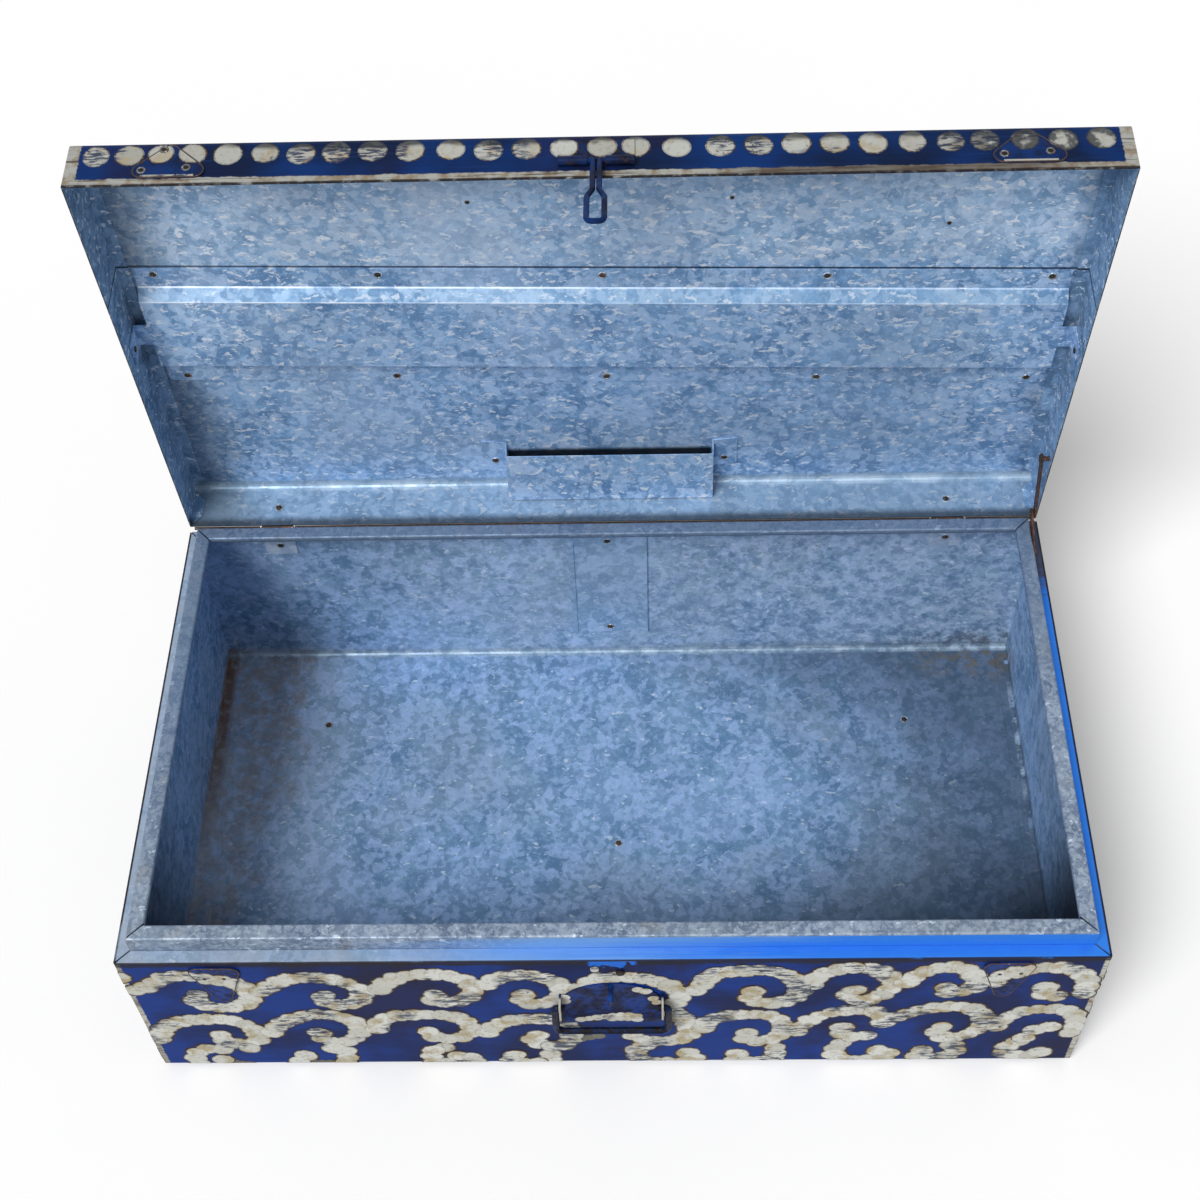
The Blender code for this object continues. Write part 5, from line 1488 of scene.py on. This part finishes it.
    def fastenings(self) -> None:
        """Sets the clasp plates' beads, the hollow rivets, the lid's hem, dark as painted shade over its gap,
        and the worn rivet rings.
        """
        steel = AgedSteel("rivet_steel_hollow_rivets", **HOLLOW_STEEL).make()
        fast = Fastenings(
            steel,
            pale=AgedSteel("zinc_rubbed_round_rivets", **RUBBED_ZINC).make(),
            dark=AgedSteel("rivet_steel_dark_hollows", **DARK_STEEL).make(),
            brown=AgedSteel("brown_steel_rubbed_bead", **BEAD_STEEL).make(),
            cream=CreamDaub("cream_oil_paint_plate_edge", **EDGE_CREAM).make(),
        )
        fast.beads(self.panels["front"], BODY_CLASPS, has_edge=False)
        fast.beads(self.panels["lid_front"], LID_CLASPS, has_edge=True)
        for name, face, marks, sizes in (
            ("lid_clasp_eyelets", "lid_front", LID_EYELETS, self.eyelet),
            ("lid_panel_marks", "lid_inside", LID_MARKS, self.mark),
        ):
            spots = [[part * MM for part in mark] for mark in marks]
            fast.rings(name, self.panels[face], spots, sizes, steel)
        fast.hems(self.panels["lid_inside"])
        fast.rivet_rings(self.panels["floor_inside"], "floor_rivet")
        fast.rivet_rings(self.panels["back_inside"], "seam_rivet", "hinge_body_rivet")
        fast.rivet_rings(self.panels["lid_inside"], "strap_rivet", "pocket_rivet")
        fast.rivet_rings(self.panels["lid_rear_inside"], "hinge_lid_rivet")


def seen_share(put: Put, lighting: float, seen: float) -> Socket:
    """Gives one value to light that falls on the trunk and another to what the camera or a reflection sees.

    Args:
        put: adds a node to the floor's or the world's tree.
        lighting: the value for light on the trunk.
        seen: the value for what is seen.

    Returns:
        The value's socket.
    """
    path = put(Kind.LIGHT_PATH).node.outputs
    share = path["Is Camera Ray"]
    for kind in ("Is Glossy Ray", "Is Transmission Ray"):
        share = put(Kind.HIGHER, share, path[kind])
    return put(Kind.RANGE, share, 0.0, 1.0, lighting, seen)


CORNERS = ((-1, -1), (1, -1), (1, 1), (-1, 1))


@dataclass
class Studio:
    """Floor, light and camera."""

    camera_place: Sequence[float] = (0.0337, -0.8463, 1.4856)
    pitch: float = math.radians(-52.93)
    yaw: float = math.radians(2.52)
    roll: float = math.radians(-2.7)
    focal: float = 1861.0 / 1200.0 * 36.0
    sky: float = 0.36
    key: float = 2.6
    key_angle: float = math.radians(28.0)
    key_place: Sequence[float] = (-0.85, -1.25, 1.8)
    sensor: float = 36.0
    floor_half: float = 6.0
    floor_drop: float = 0.0005
    floor_glow: float = 0.07

    def camera(self) -> None:
        """Sets the camera at the photograph's place and angle."""
        rise, drop = math.sin(self.pitch), math.cos(self.pitch)
        level = Matrix(((1, 0, 0), (0, -rise, drop), (0, -drop, -rise)))
        turn = Matrix.Rotation(-self.roll, 3, "Z") @ level @ Matrix.Rotation(-self.yaw, 3, "Z")
        lens = bpy.data.cameras.new("photo_camera")
        lens.lens, lens.sensor_width, lens.sensor_fit = self.focal, self.sensor, "HORIZONTAL"
        holder = bpy.data.objects.new("photo_camera", lens)
        holder.matrix_world = Matrix.Translation(self.camera_place) @ turn.transposed().to_4x4()
        bpy.context.scene.collection.objects.link(holder)
        bpy.context.scene.camera = holder

    def floor(self) -> None:
        """Lays a plain pale paper floor under the trunk: white to the eye, with the trunk's shadow."""
        mesh = bpy.data.meshes.new("floor")
        half, low = self.floor_half, CAD_BOX[0][2] - self.floor_drop
        mesh.from_pydata([(u * half, v * half, low) for u, v in CORNERS], [], [(0, 1, 2, 3)])
        material = bpy.data.materials.new("pale_paper_floor")
        material.use_nodes = True
        tree = material.node_tree
        put, shader = partial(add, tree), tree.nodes["Principled BSDF"]
        grain = put(Kind.NOISE, put(Kind.SPOT), 2.5, 3.0, 0.5)
        paper = put(Kind.MIX, grain, "#F9F9F9", "#F7F7F7")
        tone = put(Kind.MIX, seen_share(put, 0.0, 1.0), "#B4B4B4", paper)
        tree.links.new(tone, shader.inputs["Base Color"])
        tree.links.new(seen_share(put, 0.0, self.floor_glow), shader.inputs["Emission Strength"])
        shader.inputs["Emission Color"].default_value = (1.0, 1.0, 1.0, 1.0)
        shader.inputs["Roughness"].default_value = 0.9
        shader.inputs["Specular IOR Level"].default_value = 0.0
        mesh.materials.append(material)
        piece = bpy.data.objects.new("floor", mesh)
        bpy.context.scene.collection.objects.link(piece)

    def light(self) -> None:
        """Lights the trunk softly from above, in front and to the left."""
        world = bpy.data.worlds.new("studio")
        world.use_nodes = True
        tree = world.node_tree
        ground = tree.nodes["Background"]
        tree.links.new(seen_share(partial(add, tree), self.sky, 1.0), ground.inputs["Strength"])
        ground.inputs["Color"].default_value = (1.0, 1.0, 1.0, 1.0)
        bpy.context.scene.world = world
        lamp = bpy.data.lights.new("key_softbox", "SUN")
        lamp.angle, lamp.energy = self.key_angle, self.key
        holder = bpy.data.objects.new("key_softbox", lamp)
        place = Vector(self.key_place)
        aim = (-place).to_track_quat("-Z", "Y")
        holder.matrix_world = Matrix.Translation(place) @ aim.to_matrix().to_4x4()
        bpy.context.scene.collection.objects.link(holder)
        bpy.context.scene.view_settings.view_transform = "Standard"


def main() -> None:
    """Builds and dresses the trunk, then the studio round it."""
    logging.basicConfig(level=logging.INFO, format="%(name)s %(message)s")
    Trunk().dress()
    paintwork = Paintwork(trunk_panels(SIZES))
    paintwork.scrolls()
    paintwork.dots()
    paintwork.fastenings()
    studio = Studio()
    studio.floor()
    studio.light()
    studio.camera()


if __name__ == "__main__":
    main()
